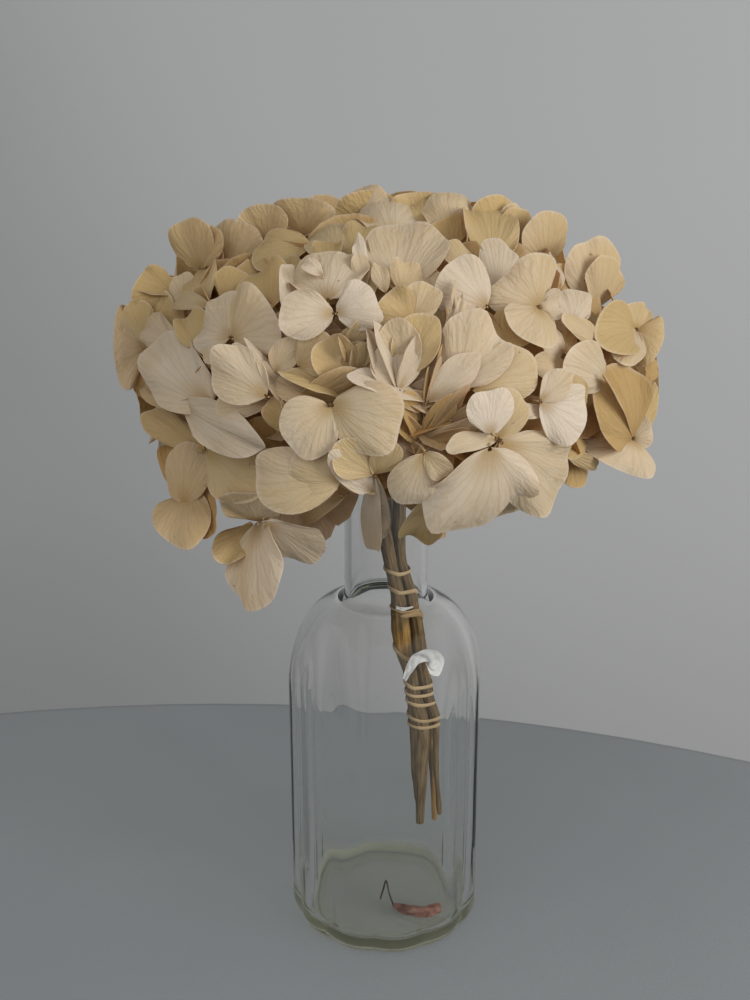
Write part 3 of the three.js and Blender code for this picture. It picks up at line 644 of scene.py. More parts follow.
turns = np.arange(0.5, len(TWINE_HEIGHTS) - 1.5, 1 / TWINE_STEPS)
height_at = np.interp(turns, np.arange(len(TWINE_HEIGHTS)), TWINE_HEIGHTS)
facing = towards(360 * (turns % 1), 0)
furthest = np.full(len(height_at), -np.inf)
twine_path = np.zeros((len(height_at), 3))
for stations in STEMS.values():
    stations = np.array(stations)
    line = smooth_line(stations[:, :3], 60)[::-1]
    axis = np.stack([np.interp(height_at, line[:, 2], line[:, k]) for k in range(3)], axis=-1)
    radius = np.interp(-height_at, -stations[:, 2], stations[:, 3])
    reach = np.sum(axis * facing, axis=1) + radius
    away = radius + STRAND["deep"] + TWINE_GAP
    further = reach > furthest
    furthest = np.where(further, reach, furthest)
    twine_path = np.where(further[:, None], axis + facing * away[:, None], twine_path)
twine_path[:, 2] = height_at
wound = smooth_line(twine_path, TWINE_FINE)
run = run_along(wound)
spoke = np.linspace(0, 2 * np.pi, STRAND["sides"], endpoint=False)[None]
patch = draw(np.floor(run / STRAND["patch"]))[:, None]
width = STRAND["across"] * (STRAND["narrowest"] + STRAND["swing"] * patch)
from_end = np.minimum(run, run[-1] - run)[:, None]
width = np.minimum(width, STRAND_END["widening"] * from_end + STRAND_END["across"])
flat_radius = 1 / np.hypot(np.cos(spoke) / width, np.sin(spoke) / STRAND["deep"])
near_upright = np.array([0.02, 0.01, 1.0])
twine_points, twine_faces = tubes(wound[None], flat_radius[None], near_upright, STRAND["sides"])
print("twine:", round(float(run[-1])), "mm wound on in", round(float(turns[-1] - turns[0]), 1), "turns")

# %% [markdown]
# ## Plant fibre
# Seen close, the twine is a bundle of pale hairs with darker lines between them. Noise that is
# drawn out level with the table follows the strand well enough, because the turns are nearly
# level, and it needs no map along the path.

# %% Twine finish
FIBRE = {"tan": (0.36, 0.255, 0.145, 1), "pale": (0.48, 0.355, 0.21, 1), "line": (0.30, 0.19, 0.09, 1)}

f = Finish("plant_fibre")
at = f.add("TexCoord", output="Object")
hairs = f.noise(f.stretched(at, (0.12, 0.12, 1)), 2600, 3, 0.6)
patches = f.noise(at, 60, 2)
tan = f.colour(f.fade(patches, 0.35, 0.65), FIBRE["tan"], FIBRE["pale"])
fibre_colour = f.colour(f.fade(hairs, 0.35, 0.75), f.colour(0.35, tan, FIBRE["line"]), tan)
plant_fibre = f.surface(f.add("BsdfPrincipled", {
    "Base Color": fibre_colour, "Roughness": 0.85, "Normal": f.bump(hairs, 0.5, 0.0004),
}))
twine = new_piece("wound_twine", twine_points, twine_faces, plant_fibre)
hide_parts("twine")

# %% [markdown]
# ## Thin sheets
# Paper, bark and sepals are all thin sheets. A single surface would have no edge and no inside,
# so each one is closed: the grid is laid twice, half the thickness to either side, and a narrow
# band joins the two round the rim. A strip is such a sheet along a line, crumpled by two sines.

# %% Sheets
def sheet_points(surface, thickness):
    """Two copies of a grid surface, half the thickness to either side along its normals."""
    down = np.gradient(surface, axis=-3)
    right = np.gradient(surface, axis=-2)
    normal = unit(np.cross(right, down))
    return np.stack([surface + normal * thickness / 2, surface - normal * thickness / 2], axis=-4)


def sheet_faces(rows, columns):
    """The upper grid, the lower grid turned over, and a narrow band round the edge."""
    one = grid_faces(rows, columns)
    count = rows * columns
    index = np.arange(count).reshape(rows, columns)
    edge = np.concatenate([index[0, :-1], index[:-1, -1], index[-1, :0:-1], index[:0:-1, 0]])
    after = np.roll(edge, -1)
    band = np.stack([after, edge, edge + count, after + count], axis=-1)
    return np.concatenate([one, one[:, ::-1] + count, band])


def ribbon(line, width_direction, width, thickness, crumple, columns=9):
    """A strip along a line: each row runs across it by its width, pushed about by sines."""
    across = np.linspace(-0.5, 0.5, columns)[None, :, None]
    surface = line[:, None, :] + width_direction[:, None, :] * width[:, None, None] * across
    s = np.arange(len(line))[:, None] * 0.31
    wave = np.sin(s * 1.3 + across[..., 0] * 7) + 0.6 * np.sin(s * 2.3 - across[..., 0] * 9 + 1)
    surface = surface + crumple * wave[..., None] * np.array([0.35, 1.0, 0.6])
    points = sheet_points(surface, thickness).reshape(-1, 3)
    return points, [sheet_faces(len(line), columns)]


print("a closed sheet of 3 x 4 points:", len(sheet_faces(3, 4)), "faces")

# %% [markdown]
# ## White tissue
# The paper is matt, softly creased and thin enough for light to come through. The hollows of the
# creases get a painted shade, the grey fold colour below the paper's white. A translucent share
# beside the matt surface gives that glow, and is cheaper than real scattering inside the sheet.

# %% Paper finish
# fold is a painted shade for the creases' hollows, face the paper's own white.
TISSUE = {"fold": (0.76, 0.76, 0.76, 1), "face": (0.90, 0.90, 0.90, 1), "glow": (0.8, 0.79, 0.77, 1)}

f = Finish("white_tissue")
at = f.add("TexCoord", output="Object")
creases = f.noise(at, 420, 4, 0.6)
# Painted shade: the crease noise turns the hollows to the grey fold colour.
tissue_colour_with_crease_shade = f.colour(f.fade(creases, 0.3, 0.7), TISSUE["fold"], TISSUE["face"])
tissue = f.add("BsdfPrincipled", {
    "Base Color": tissue_colour_with_crease_shade, "Roughness": 0.9, "Normal": f.bump(creases, 0.5, 0.0008),
})
glow = f.add("BsdfTranslucent", {"Color": TISSUE["glow"]})
white_tissue = f.surface(f.add("MixShader", {0: 0.25, 1: tissue, 2: glow}))
print("finish:", white_tissue.name)

# %% [markdown]
# ## The folded strip and the scrap
# A strip of tissue comes out of the twine, bends over like a hook and folds back on itself. It is
# one ribbon whose width turns from upright to level and over as it goes. A smaller scrap lies
# higher up on the bundle.

# %% Paper
PAPER_LINE = np.array([
    (7.0, -11.2, 103.2), (8.9, -11.7, 108.0), (11.4, -12.1, 112.0), (14.2, -12.4, 113.2),
    (17.2, -12.2, 112.4), (18.8, -11.8, 110.0), (17.6, -12.6, 107.6), (15.2, -13.0, 108.4),
])
# At each station of the line: the width in mm, and how far it is turned up from +X in degrees.
PAPER_WIDTH = np.array([1.5, 3.0, 4.2, 5.4, 6.2, 6.4, 5.4, 3.8])
PAPER_TURN = np.array([155, 150, 130, 100, 60, 20, -40, -70])
PAPER = {"thickness": 0.22, "crumple": 0.17}
SCRAP_LINE = np.array([(3.7, -8.8, 130.2), (6.6, -9.1, 129.2), (9.9, -8.7, 130.2)])
SCRAP = {"thickness": 0.25, "crumple": 0.08}

paper_line = smooth_line(PAPER_LINE, 8)
share = np.linspace(0, 1, len(paper_line))
stations = np.linspace(0, 1, len(PAPER_LINE))
lean = np.radians(np.interp(share, stations, PAPER_TURN))
paper_across = unit(np.stack([np.cos(lean), 0.35 * np.cos(2 * lean), np.sin(lean)], axis=-1))
paper_width = np.interp(share, stations, PAPER_WIDTH)
paper_points, paper_faces = ribbon(paper_line, paper_across, paper_width, *PAPER.values())
paper = new_piece("folded_paper", paper_points, paper_faces, white_tissue)
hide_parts("paper_loop")

scrap_line = smooth_line(SCRAP_LINE, 8)
scrap_width = np.interp(np.linspace(0, 1, len(scrap_line)), [0, 0.45, 1], [2.0, 2.4, 0.8])
scrap_up = np.tile([0.0, -0.15, 1.0], (len(scrap_line), 1))
scrap_points, scrap_faces = ribbon(scrap_line, scrap_up, scrap_width, *SCRAP.values())
scrap = new_piece("paper_tuft", scrap_points, scrap_faces, white_tissue)
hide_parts("paper_scrap")
for name, line, widths in (("strip", paper_line, paper_width), ("scrap", scrap_line, scrap_width)):
    long, wide = round(float(run_along(line)[-1]), 1), round(float(widths.max()), 1)
    print("paper", name, long, "mm long,", wide, "mm at its widest")

# %% [markdown]
# ## The fallen bark
# A reddish curl of bark with a thin dark tail lies on the bottle's floor. It is a thicker ribbon
# standing on its edge, and the tail is a tube. Both go into one mesh, and an attribute tells the
# finish which is which.

# %% Fallen bark
BARK_LINE = np.array([(4, -13, 7.0), (8.5, -16, 7.1), (13, -17.4, 7.2), (18, -17, 7.4), (22.8, -15, 7.7)])
TAIL_LINE = np.array([
    (-1.8, -7.5, 6.0), (-0.4, -6.6, 10.0), (0.8, -6.2, 13.6), (2.4, -9.2, 9.6), (4.2, -12.6, 6.3),
])
CURL = {"thickness": 0.7, "crumple": 0.10}
TAIL = {"radius": 0.4, "sides": 8}
FALLEN = {"tail": (0.05, 0.03, 0.018, 1), "dark": (0.11, 0.04, 0.028, 1), "red": (0.27, 0.145, 0.11, 1)}

bark_line = smooth_line(BARK_LINE, 9)
bark_side = np.tile([0.05, 0.5, 1.0], (len(bark_line), 1))
bark_width = np.interp(np.linspace(0, 1, len(bark_line)), [0, 0.15, 0.8, 1], [2.0, 3.6, 4.6, 3.4])
bark_points, bark_faces = ribbon(bark_line, unit(bark_side), bark_width, *CURL.values())
tail = smooth_line(TAIL_LINE, 8)
tail_radius = np.full((1, len(tail)), TAIL["radius"])
tail_points, tail_faces = tubes(tail[None], tail_radius, np.array([0.1, 1.0, 0]), TAIL["sides"])
curl_faces = bark_faces + [face + len(bark_points) for face in tail_faces]
curl_points = np.concatenate([bark_points, tail_points])
red = np.concatenate([np.ones(len(bark_points)), np.zeros(len(tail_points))])
f = Finish("fallen_bark")
at = f.add("TexCoord", output="Object")
streaks = f.noise(f.stretched(at, (0.25, 1, 1)), 700, 4, 0.6)
reddish = f.colour(f.fade(streaks, 0.35, 0.65), FALLEN["dark"], FALLEN["red"])
fallen_bark = f.surface(f.add("BsdfPrincipled", {
    "Base Color": f.colour(f.value("red"), FALLEN["tail"], reddish), "Roughness": 0.8,
    "Normal": f.bump(streaks, 0.6, 0.0008),
}))
sliver = new_piece("bark_curl", curl_points, curl_faces, fallen_bark, {"red": red})
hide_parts("bark_sliver")

# %% [markdown]
# ## The dome of the bunch
# Three heads press together into one dome. Its size comes from the photograph, measured against
# the bottle. All florets, stalks and followed sepals are placed on this one dome, so that they
# agree. Each head is the wedge between two upright planes, and a rounded box a little outside
# the dome holds the sepals' tips within the real size.

# %% Dome and heads
DOME = {"middle": np.array([0, 0, 214.0]), "across": 80, "deep": 78, "up": 54, "down": 42}
LIMIT = {"across": 100, "deep": 94, "up": 69.5, "down": 90, "boxiness": 3, "start": 0.86}
# The bearings of each head's two walls, turned from +X towards +Y, and where the walls meet.
HEADS = {"head_left": (152.5, 280), "head_right": (280, 387.5), "head_back": (27.5, 152.5)}
HEADS_MEET = np.array([1.0, 1.0])


def on_dome(azimuth, elevation, lift):
    """The dome's middle plus its three radii, each raised by the lift, times the direction."""
    up = np.where(np.asarray(elevation) > 0, DOME["up"], DOME["down"]) + lift
    radii = np.stack(np.broadcast_arrays(DOME["across"] + lift, DOME["deep"] + lift, up), axis=-1)
    return DOME["middle"] + towards(azimuth, elevation) * radii


print("dome", 2 * DOME["across"], "x", 2 * DOME["deep"], "x", DOME["up"] + DOME["down"], "mm")

# %% [markdown]
# ## Florets given one by one
# A mop head is a dome of florets, each of four broad sepals round a small eye. The ones towards
# the viewer are listed one by one, to sit and look where the photograph shows a floret. They could
# be scattered by rule like the rest, but then the bunch would not be this one.

# %% Florets given one by one
# Azimuth, elevation and height on the dome; where it looks; roll; sepal length; cup; curl.
SHOWN = np.array([
    (-84, 45, 0, -110, 55, 0, 23, 30, 0),
    (-83, 31, 0, -120, 15, 20, 22, 25, 0),
    (-81, 21, 2, -50, 5, 80, 20, 20, -30),
    (-40, 24, 2, -12, 18, 70, 17, 20, -20),
    (-25, 7, 4, -20, 10, -55, 17, 35, -10),
    (-56, 17, 0, -60, -15, 0, 23, 15, -10),
    (-58, -1, 0, -35, -40, 40, 24, 15, -10),
    (-60, -37, 0, -15, 5, -22, 18, 20, -20),
    (-46, -51, 8, -5, 5, 3, 20, 5, 0),
    (-11, -33, 4, -10, -60, 0, 22, 10, -15),
    (-11, 7, 6, -5, 20, 45, 18, 10, -25),
    (-1, -13, 10, 0, -45, 0, 19, 10, -20),
    (3, -6, 12, 10, -30, -5, 16, 15, -35),
    (19, -4, 10, 20, -5, 20, 23, 5, -15),
    (15, 10, 8, 15, 30, 10, 20, 45, -20),
    (-15, 34, 6, -15, 15, -40, 19, 10, -30),
    (1, 42, 2, 0, 65, 0, 21, 40, 0),
    (5, 29, 6, 10, 60, -20, 16, 60, 5),
    (2, 15, 6, 0, 55, 0, 18, 60, -10),
    (-23, 15, 4, -15, 25, 30, 15, 50, -10),
    (-79, 71, 0, -20, 70, 20, 24, 25, -10),
    (-26, 89, 0, 0, 80, 0, 24, 25, 0),
    (85, 76, 0, 15, 75, 0, 24, 25, 0),
    (43, 54, 4, 25, 50, 0, 23, 30, 0),
    (38, 31, 6, 25, 25, -45, 18, 20, -20),
    (84, 54, 0, 40, 60, 0, 23, 30, 0),
    (70, 29, 2, 35, 25, -40, 20, 25, -20),
    (80, 20, 2, 55, 15, 80, 18, 20, -20),
    (54, 9, 4, 40, 10, -60, 17, 30, -10),
    (71, -16, 2, 50, -10, 10, 18, 30, -10),
    (32, 4, 8, 25, 5, 10, 18, 20, -20),
    (19, 50, 4, 10, 60, 0, 22, 30, 0),
    (24, 22, 8, 20, 25, 60, 18, 25, -20),
    (-47, 43, 0, -20, 55, 0, 23, 30, 0),
    (-35, -11, 0, -15, -10, 30, 19, 20, 0),
    (-66, 33, 0, -30, 60, 0, 16, 60, -10),
    (-5, -13, 8, 5, 0, -45, 15, 30, 10),
    (-8, 18, 4, -15, 30, 0, 14, 50, 0),
    (57, -27, 2, 40, -40, 60, 14, 20, -10),
    (-17, -1, 2, -15, 0, 20, 14, 30, 0),
    (40, 19, 4, 30, 30, 0, 15, 45, 0),
])
shown_at = on_dome(SHOWN[:, 0], SHOWN[:, 1], SHOWN[:, 2])
shown_looks = towards(SHOWN[:, 3], SHOWN[:, 4])
print("florets set by hand:", len(SHOWN))

# %% [markdown]
# ## Sepals followed one by one
# What gives the bunch its look is how each front sepal bends, and no rule repeats that. So the
# sepals that face the viewer are followed one by one from the photograph, in groups that are easy
# to find in it. Each is a root and a tip, set as places in its frame with a height over the dome,
# and then a few numbers for its shape. The rest of the sepal comes from the formula below.

# %% Followed sepals
# Root and tip, each as a place in the 750 x 1000 frame and a height in mm over the dome; then the
# width in mm; how far it is turned round its own line, how far it bows and how its sides fold, in
# degrees; and how pointed it is, from 0 to 1.
FOLLOWED = {
    "the crown's far side": [
        (270, 242, -4, 264, 206, 2, 13, 0, 30, -20, 0), (305, 236, -4, 302, 200, 2, 19, 0, 30, -20, 0),
        (312, 246, 0, 257, 253, 2, 13, 10, 35, -25, 0), (350, 224, -4, 382, 187, 2, 12, 15, 30, -20, 0),
        (372, 232, -4, 366, 190, 0, 16, 0, 30, -20, 0), (392, 242, -2, 391, 200, 3, 20, 0, 35, -25, 0),
        (340, 264, -2, 331, 227, 3, 14, 5, 30, -20, 0), (326, 268, 2, 331, 243, 4, 7, 0, 20, 20, 0),
        (356, 262, -2, 372, 226, 2, 12, 0, 30, -20, 0), (415, 220, -4, 414, 191, 0, 13, 0, 30, -20, 0),
        (428, 240, -2, 424, 203, 2, 9, 10, 20, -15, 0), (450, 244, -2, 455, 194, 3, 15, 0, 30, -25, 0),
        (432, 262, 0, 408, 228, 4, 6, 30, 40, 10, 0), (436, 266, 0, 436, 242, 3, 4, 30, 10, 20, 0.3),
        (495, 244, -4, 492, 197, 0, 14, 0, 30, -20, 0), (490, 266, -2, 484, 211, 2, 15, 0, 25, 30, 0),
        (497, 302, 2, 500, 243, 6, 10, 0, 20, -30, 0.2), (470, 270, 0, 446, 246, 4, 8, 20, 20, -20, 0),
        (466, 246, 2, 470, 219, 5, 3, 60, 10, 0, 0.3), (512, 248, -4, 506, 206, 0, 9, 0, 20, -15, 0),
        (522, 250, -4, 521, 211, 0, 10, 0, 20, -15, 0), (538, 262, -4, 538, 214, 0, 14, 0, 30, -25, 0),
        (548, 264, 0, 520, 250, 3, 4, 30, 20, 0, 0),
    ],
    "far left": [
        (196, 268, -2, 178, 217, 2, 13, 0, 30, -25, 0), (206, 272, 0, 203, 225, 4, 14, 0, 30, -25, 0),
        (230, 276, -2, 237, 223, 2, 16, 0, 35, -30, 0), (212, 274, 2, 204, 248, 5, 10, 0, 20, -20, 0),
        (180, 292, -2, 142, 277, 0, 13, 0, 30, -30, 0), (172, 302, 0, 134, 294, 2, 3, 60, 10, 0, 0.5),
        (188, 308, 0, 181, 276, 4, 8, 10, 15, -15, 0), (205, 308, 0, 204, 271, 4, 12, 0, 25, -20, 0),
        (222, 300, 0, 238, 271, 4, 9, 15, 25, -15, 0), (270, 312, -4, 258, 271, 2, 14, 0, 40, 30, 0),
        (300, 300, -4, 280, 262, 0, 10, 0, 20, -10, 0), (150, 340, 0, 113, 337, 3, 24, 10, 40, -20, 0),
        (148, 354, 4, 136, 304, 4, 10, 30, 20, -10, 0), (146, 352, 4, 158, 300, 6, 9, 30, 25, 20, 0),
        (178, 346, 0, 148, 326, 3, 10, 0, 25, -20, 0), (212, 408, 2, 158, 344, 6, 17, 0, 35, -25, 0),
        (172, 345, 0, 170, 305, 3, 9, 20, 20, -20, 0), (165, 400, -4, 138, 372, -2, 9, 20, 20, -10, 0),
    ],
    "left front": [
        (234, 340, 6, 274, 316, 8, 17, 0, 35, -25, 0), (229, 337, 6, 202, 320, 7, 12, 0, 30, -25, 0),
        (227, 335, 4, 221, 295, 6, 10, 0, 20, -20, 0), (227, 339, 4, 206, 358, 5, 9, 20, 20, -10, 0),
        (214, 308, 2, 173, 305, 5, 6, 25, 30, -10, 0.3), (200, 350, 2, 187, 316, 5, 9, 15, 30, 20, 0),
        (268, 397, 8, 216, 358, 14, 13, 0, 30, -20, 0), (287, 413, 2, 247, 345, 12, 2, 70, 15, 0, 0.4),
        (292, 412, 0, 262, 362, 8, 3, 68, 10, 0, 0.4), (272, 402, 2, 232, 350, 8, 5, 50, 20, 10, 0),
        (270, 402, 2, 220, 405, 6, 7, 10, 30, -15, 0), (296, 434, 0, 268, 403, 4, 7, 0, 40, 40, 0),
        (302, 430, 0, 286, 398, 4, 5, 40, 30, 30, 0), (262, 440, -4, 225, 415, 0, 9, 0, 20, 0, 0),
        (280, 450, -4, 255, 420, 0, 7, 0, 20, 0, 0),
    ],
    "the bright floret and the swirl below it": [
        (342, 314, 10, 290, 314, 14, 11, 0, 30, -25, 0), (329, 313, 10, 369, 301, 12, 11, 0, 40, -25, 0),
        (328, 302, 8, 326, 258, 8, 18, 0, 35, -20, 0), (292, 354, 4, 289, 274, 8, 7, 45, 30, -20, 0),
        (323, 277, 10, 306, 264, 12, 4, 20, 40, -10, 0), (300, 345, 2, 310, 300, 6, 9, 0, 10, 0, 0),
        (298, 368, 4, 331, 341, 7, 10, 0, 30, -20, 0), (275, 374, 4, 294, 342, 6, 8, 0, 20, -10, 0.3),
        (352, 380, 0, 321, 349, 6, 10, 0, 40, 35, 0), (350, 364, 2, 340, 334, 8, 6, 50, 50, 30, 0),
        (352, 366, 2, 360, 336, 7, 6, 40, 50, 30, 0), (356, 382, 2, 364, 350, 6, 6, 20, 30, 20, 0),
        (345, 345, 6, 366, 322, 9, 5, 40, 40, 10, 0), (300, 398, 0, 352, 372, 6, 7, 50, 35, -15, 0),
        (342, 400, 4, 284, 372, 8, 3, 65, 25, 0, 0.3), (420, 404, 2, 345, 382, 8, 5, 50, 30, -10, 0),
        (322, 404, 0, 278, 382, 4, 7, 30, 20, 0, 0), (416, 442, -4, 401, 397, 4, 6, 40, 35, 25, 0),
        (412, 444, -2, 384, 404, 5, 7, 30, 35, 25, 0),
    ],
    "top middle": [
        (396, 292, 2, 400, 232, 6, 19, 0, 30, -10, 0), (404, 294, 4, 413, 264, 9, 8, 15, 60, -20, 0),
        (376, 268, 4, 371, 240, 7, 3, 45, 20, 0, 0.2), (362, 286, 4, 355, 236, 10, 4, 10, 10, 0, 0.7),
        (368, 292, 4, 363, 258, 9, 5, 0, 25, -20, 0.4), (386, 294, 4, 378, 266, 9, 5, 0, 25, -10, 0.4),
        (372, 300, 2, 350, 262, 6, 8, 0, 20, 0, 0), (411, 321, 6, 383, 301, 11, 10, 0, 40, 30, 0),
        (413, 321, 6, 430, 287, 12, 8, 0, 45, -20, 0), (404, 372, 4, 395, 323, 12, 9, 0, 30, 25, 0),
        (406, 372, 4, 428, 319, 12, 10, 0, 35, 25, 0), (402, 392, 4, 424, 337, 10, 6, 35, 15, 0, 0.2),
        (402, 392, 6, 386, 352, 10, 8, 10, 15, -10, 0.2), (389, 390, 4, 367, 323, 13, 4, 45, 20, -10, 0.2),
        (380, 392, 4, 371, 332, 11, 3, 60, 15, 0, 0.2), (395, 380, 0, 440, 340, 4, 9, 0, 20, 0, 0),
        (488, 307, 4, 443, 276, 9, 14, 0, 45, -20, 0), (446, 334, 0, 431, 277, 5, 10, 0, 30, 20, 0),
        (455, 348, 0, 463, 284, 5, 8, 10, 25, 20, 0), (452, 322, 6, 453, 283, 10, 2, 60, 10, 0, 0.6),
        (443, 352, 4, 450, 304, 9, 3, 50, 20, 10, 0.4),
    ],
    "right of the middle": [
        (540, 309, 6, 513, 271, 10, 18, 0, 40, -25, 0), (538, 308, 8, 529, 340, 9, 14, 0, 30, -15, 0),
        (538, 307, 8, 557, 305, 10, 7, 0, 30, 10, 0), (455, 388, 4, 490, 326, 10, 16, 0, 35, -15, 0),
        (470, 390, 4, 529, 362, 8, 13, 0, 40, -20, 0), (432, 402, 4, 484, 357, 11, 9, 0, 20, -15, 0.5),
        (456, 350, 4, 467, 305, 9, 6, 0, 15, -10, 0.7), (500, 345, 2, 520, 318, 4, 10, 0, 20, 0, 0),
        (420, 438, -4, 452, 392, 7, 6, 30, 20, -10, 0.3), (418, 440, -4, 436, 362, 7, 3, 50, 15, 0, 0.4),
        (424, 430, -2, 425, 372, 6, 2, 60, 15, 0, 0.4), (419, 441, -4, 466, 389, 8, 5, 40, 20, -10, 0.3),
        (428, 420, -2, 440, 350, 6, 3, 55, 15, 0, 0.4), (421, 440, -2, 480, 405, 6, 6, 40, 20, 0, 0.2),
    ],
    "the floret that hangs at the right front": [
        (497, 441, 8, 553, 487, 8, 19, 0, 40, -25, 0), (494, 446, 10, 518, 510, 9, 13, 0, 30, -20, 0),
        (491, 446, 12, 473, 523, 14, 28, -18, 45, -30, 0), (494, 437, 14, 491, 392, 15, 11, 0, 60, -25, 0),
        (506, 432, 8, 525, 387, 9, 10, 0, 25, -10, 0), (494, 440, 10, 446, 449, 13, 5, 30, 35, -10, 0),
        (420, 443, 0, 480, 419, 9, 5, 40, 35, -10, 0), (424, 444, -2, 470, 430, 6, 3, 40, 10, 0, 0.2),
    ],
    "low in the middle": [
        (425, 453, 10, 417, 504, 12, 14, 0, 40, -30, 0), (424, 450, 8, 448, 471, 11, 6, 20, 40, -10, 0),
        (374, 476, 6, 374, 547, 8, 6, 30, 20, -10, 0),
        (387, 484, 8, 393, 545, 10, 6, 10, 25, -25, 0), (433, 500, 4, 419, 533, 6, 11, 10, 40, 35, 0),
        (441, 506, 0, 442, 537, 4, 3, 0, 5, -40, 0), (342, 482, 8, 258, 476, 11, 15, 0, 40, -20, 0),
        (344, 478, 10, 293, 468, 12, 10, 0, 40, -20, 0), (346, 496, 2, 301, 516, 2, 5, 30, 20, 0, 0.2),
        (373, 492, 6, 334, 453, 11, 7, 10, 25, -15, 0), (263, 480, 2, 262, 446, 4, 6, 10, 20, 0, 0),
        (331, 403, 8, 291, 440, 12, 14, 0, 40, -20, 0), (332, 403, 8, 399, 426, 12, 16, 0, 45, -20, 0),
        (328, 408, 5, 311, 447, 8, 8, 10, 25, 0, 0), (369, 467, 6, 333, 437, 11, 9, 0, 45, 35, 0),
        (371, 469, 4, 389, 440, 8, 7, 20, 20, -10, 0), (380, 470, 0, 392, 448, 2, 6, 0, 10, 0, 0),
    ],
    "low at the left": [
        (187, 407, 0, 145, 383, 3, 9, 20, 25, -10, 0), (180, 404, 4, 259, 440, 8, 14, 10, 30, -10, 0.3),
        (206, 452, 0, 149, 415, 3, 8, 25, 25, 0, 0.1), (206, 450, 2, 263, 479, 6, 16, 0, 30, -10, 0),
        (177, 490, -4, 170, 446, -2, 6, 20, 30, 30, 0), (184, 506, 0, 190, 447, 2, 12, 10, 30, -15, 0),
        (192, 492, 0, 171, 546, 3, 16, 0, 40, -30, 0), (206, 486, -4, 213, 532, -3, 9, 10, 20, 0, 0),
        (261, 523, 12, 262, 609, 14, 19, 28, 25, -15, 0), (263, 520, 12, 314, 554, 13, 19, 10, 10, 5, 0.3),
        (258, 519, 11, 237, 493, 12, 14, 0, 20, 10, 0), (255, 524, 10, 221, 561, 9, 11, 25, 10, 10, 0.4),
    ],
    "low at the right": [
        (629, 438, -2, 598, 383, 4, 18, 0, 40, 30, 0), (633, 437, 4, 611, 381, 10, 3, 60, 10, 0, 0.3),
        (636, 440, 2, 641, 371, 5, 15, 0, 30, 20, 0), (622, 440, 4, 617, 472, 5, 25, 10, 40, -25, 0),
        (638, 438, 4, 659, 427, 6, 10, 10, 20, 0, 0), (652, 378, 4, 617, 356, 8, 2, 60, 15, 0, 0.4),
        (644, 388, -2, 652, 367, 0, 6, 10, 20, -10, 0), (604, 380, 4, 626, 360, 7, 9, 15, 30, 20, 0),
        (542, 402, 8, 586, 426, 12, 14, 0, 45, -25, 0), (536, 400, 8, 567, 375, 12, 9, 0, 30, -20, 0.4),
        (585, 405, 4, 566, 380, 7, 7, 10, 20, -10, 0), (604, 382, 4, 569, 357, 8, 12, 0, 40, -20, 0),
        (577, 377, 2, 537, 362, 5, 7, 20, 20, 0, 0), (563, 357, 4, 545, 337, 7, 7, 20, 30, -20, 0),
        (546, 414, 4, 512, 413, 7, 4, 30, 25, 0, 0), (584, 442, 0, 564, 453, 2, 5, 20, 20, 0, 0),
        (562, 450, 0, 598, 466, 2, 5, 20, 20, 0, 0.4), (572, 458, 0, 573, 485, 2, 9, 10, 20, -10, 0),
    ],
    "far right": [
        (560, 287, 2, 550, 256, 5, 6, 20, 20, -10, 0), (592, 310, -2, 585, 242, 2, 18, 0, 35, -20, 0.2),
        (596, 310, 0, 606, 260, 3, 13, 10, 35, -20, 0), (592, 312, 2, 586, 338, 4, 8, 10, 20, 10, 0),
        (615, 313, 3, 609, 291, 6, 2, 60, 10, 0, 0.5), (632, 329, 2, 590, 338, 6, 14, 10, 35, 25, 0),
        (634, 327, 2, 634, 302, 4, 11, 0, 25, -15, 0), (636, 330, 4, 665, 345, 5, 16, 0, 30, -20, 0),
        (632, 332, 4, 612, 357, 7, 12, 10, 30, -10, 0), (640, 334, 2, 650, 362, 4, 12, 0, 30, -20, 0),
        (572, 328, 6, 574, 292, 10, 9, 0, 30, -20, 0), (601, 351, 5, 566, 321, 10, 6, 20, 30, -10, 0),
        (563, 352, 2, 570, 328, 4, 5, 10, 10, 10, 0),
    ],
}
followed = np.array([sepal for group in FOLLOWED.values() for sepal in group], float)
root_place, root_lift = followed[:, 0:2], followed[:, 2]
tip_place, tip_lift = followed[:, 3:5], followed[:, 5]
print("followed sepals:", len(followed), "in", len(FOLLOWED), "groups")

# %% [markdown]
# ## From the photograph to the dome
# A place in the photograph is a line of sight, and the sepal could be anywhere along it. The dome
# settles that: the sepal sits where the line meets the dome, raised by its own height. Seen from
# any other side it still stands on the bunch, which it would not if it were only painted in
# front of the camera. Sepals whose roots nearly meet then share one floret.

# %% Lines of sight
ROOTS_MEET = 4.5


def seen_at(places, lift):
    """Where the line of sight through a place first meets the dome raised by the lift, or passes
    nearest to it: the smaller root of the quadratic for that ellipsoid."""
    down = math.radians(CAMERA_DOWN)
    ahead = np.array([0, math.cos(down), -math.sin(down)])
    above = np.array([0, math.sin(down), math.cos(down)])
    focal = FRAME[1] * LENS / SENSOR
    aside = (places[:, :1] - FRAME[0] / 2) / focal
    over = (FRAME[1] / 2 - places[:, 1:2]) / focal
    ray = ahead + aside * np.array([1.0, 0, 0]) + over * above
    start = np.array(CAMERA_AT) - DOME["middle"]
    found = []
    for height in (DOME["up"], DOME["down"]):
        radii = np.stack([DOME["across"] + lift, DOME["deep"] + lift, height + lift], axis=-1)
        d, o = ray / radii, start / radii
        a, b, c = np.sum(d * d, axis=1), np.sum(d * o, axis=1), np.sum(o * o, axis=1) - 1
        t = (-b - np.sqrt(np.maximum(b * b - a * c, 0))) / a
        found.append(np.array(CAMERA_AT) + ray * t[:, None])
    return np.where(found[0][:, 2:] > DOME["middle"][2], found[0], found[1])


root_seen = seen_at(root_place, root_lift)
tip_seen = seen_at(tip_place, tip_lift)
middle_seen = (root_seen + tip_seen) / 2

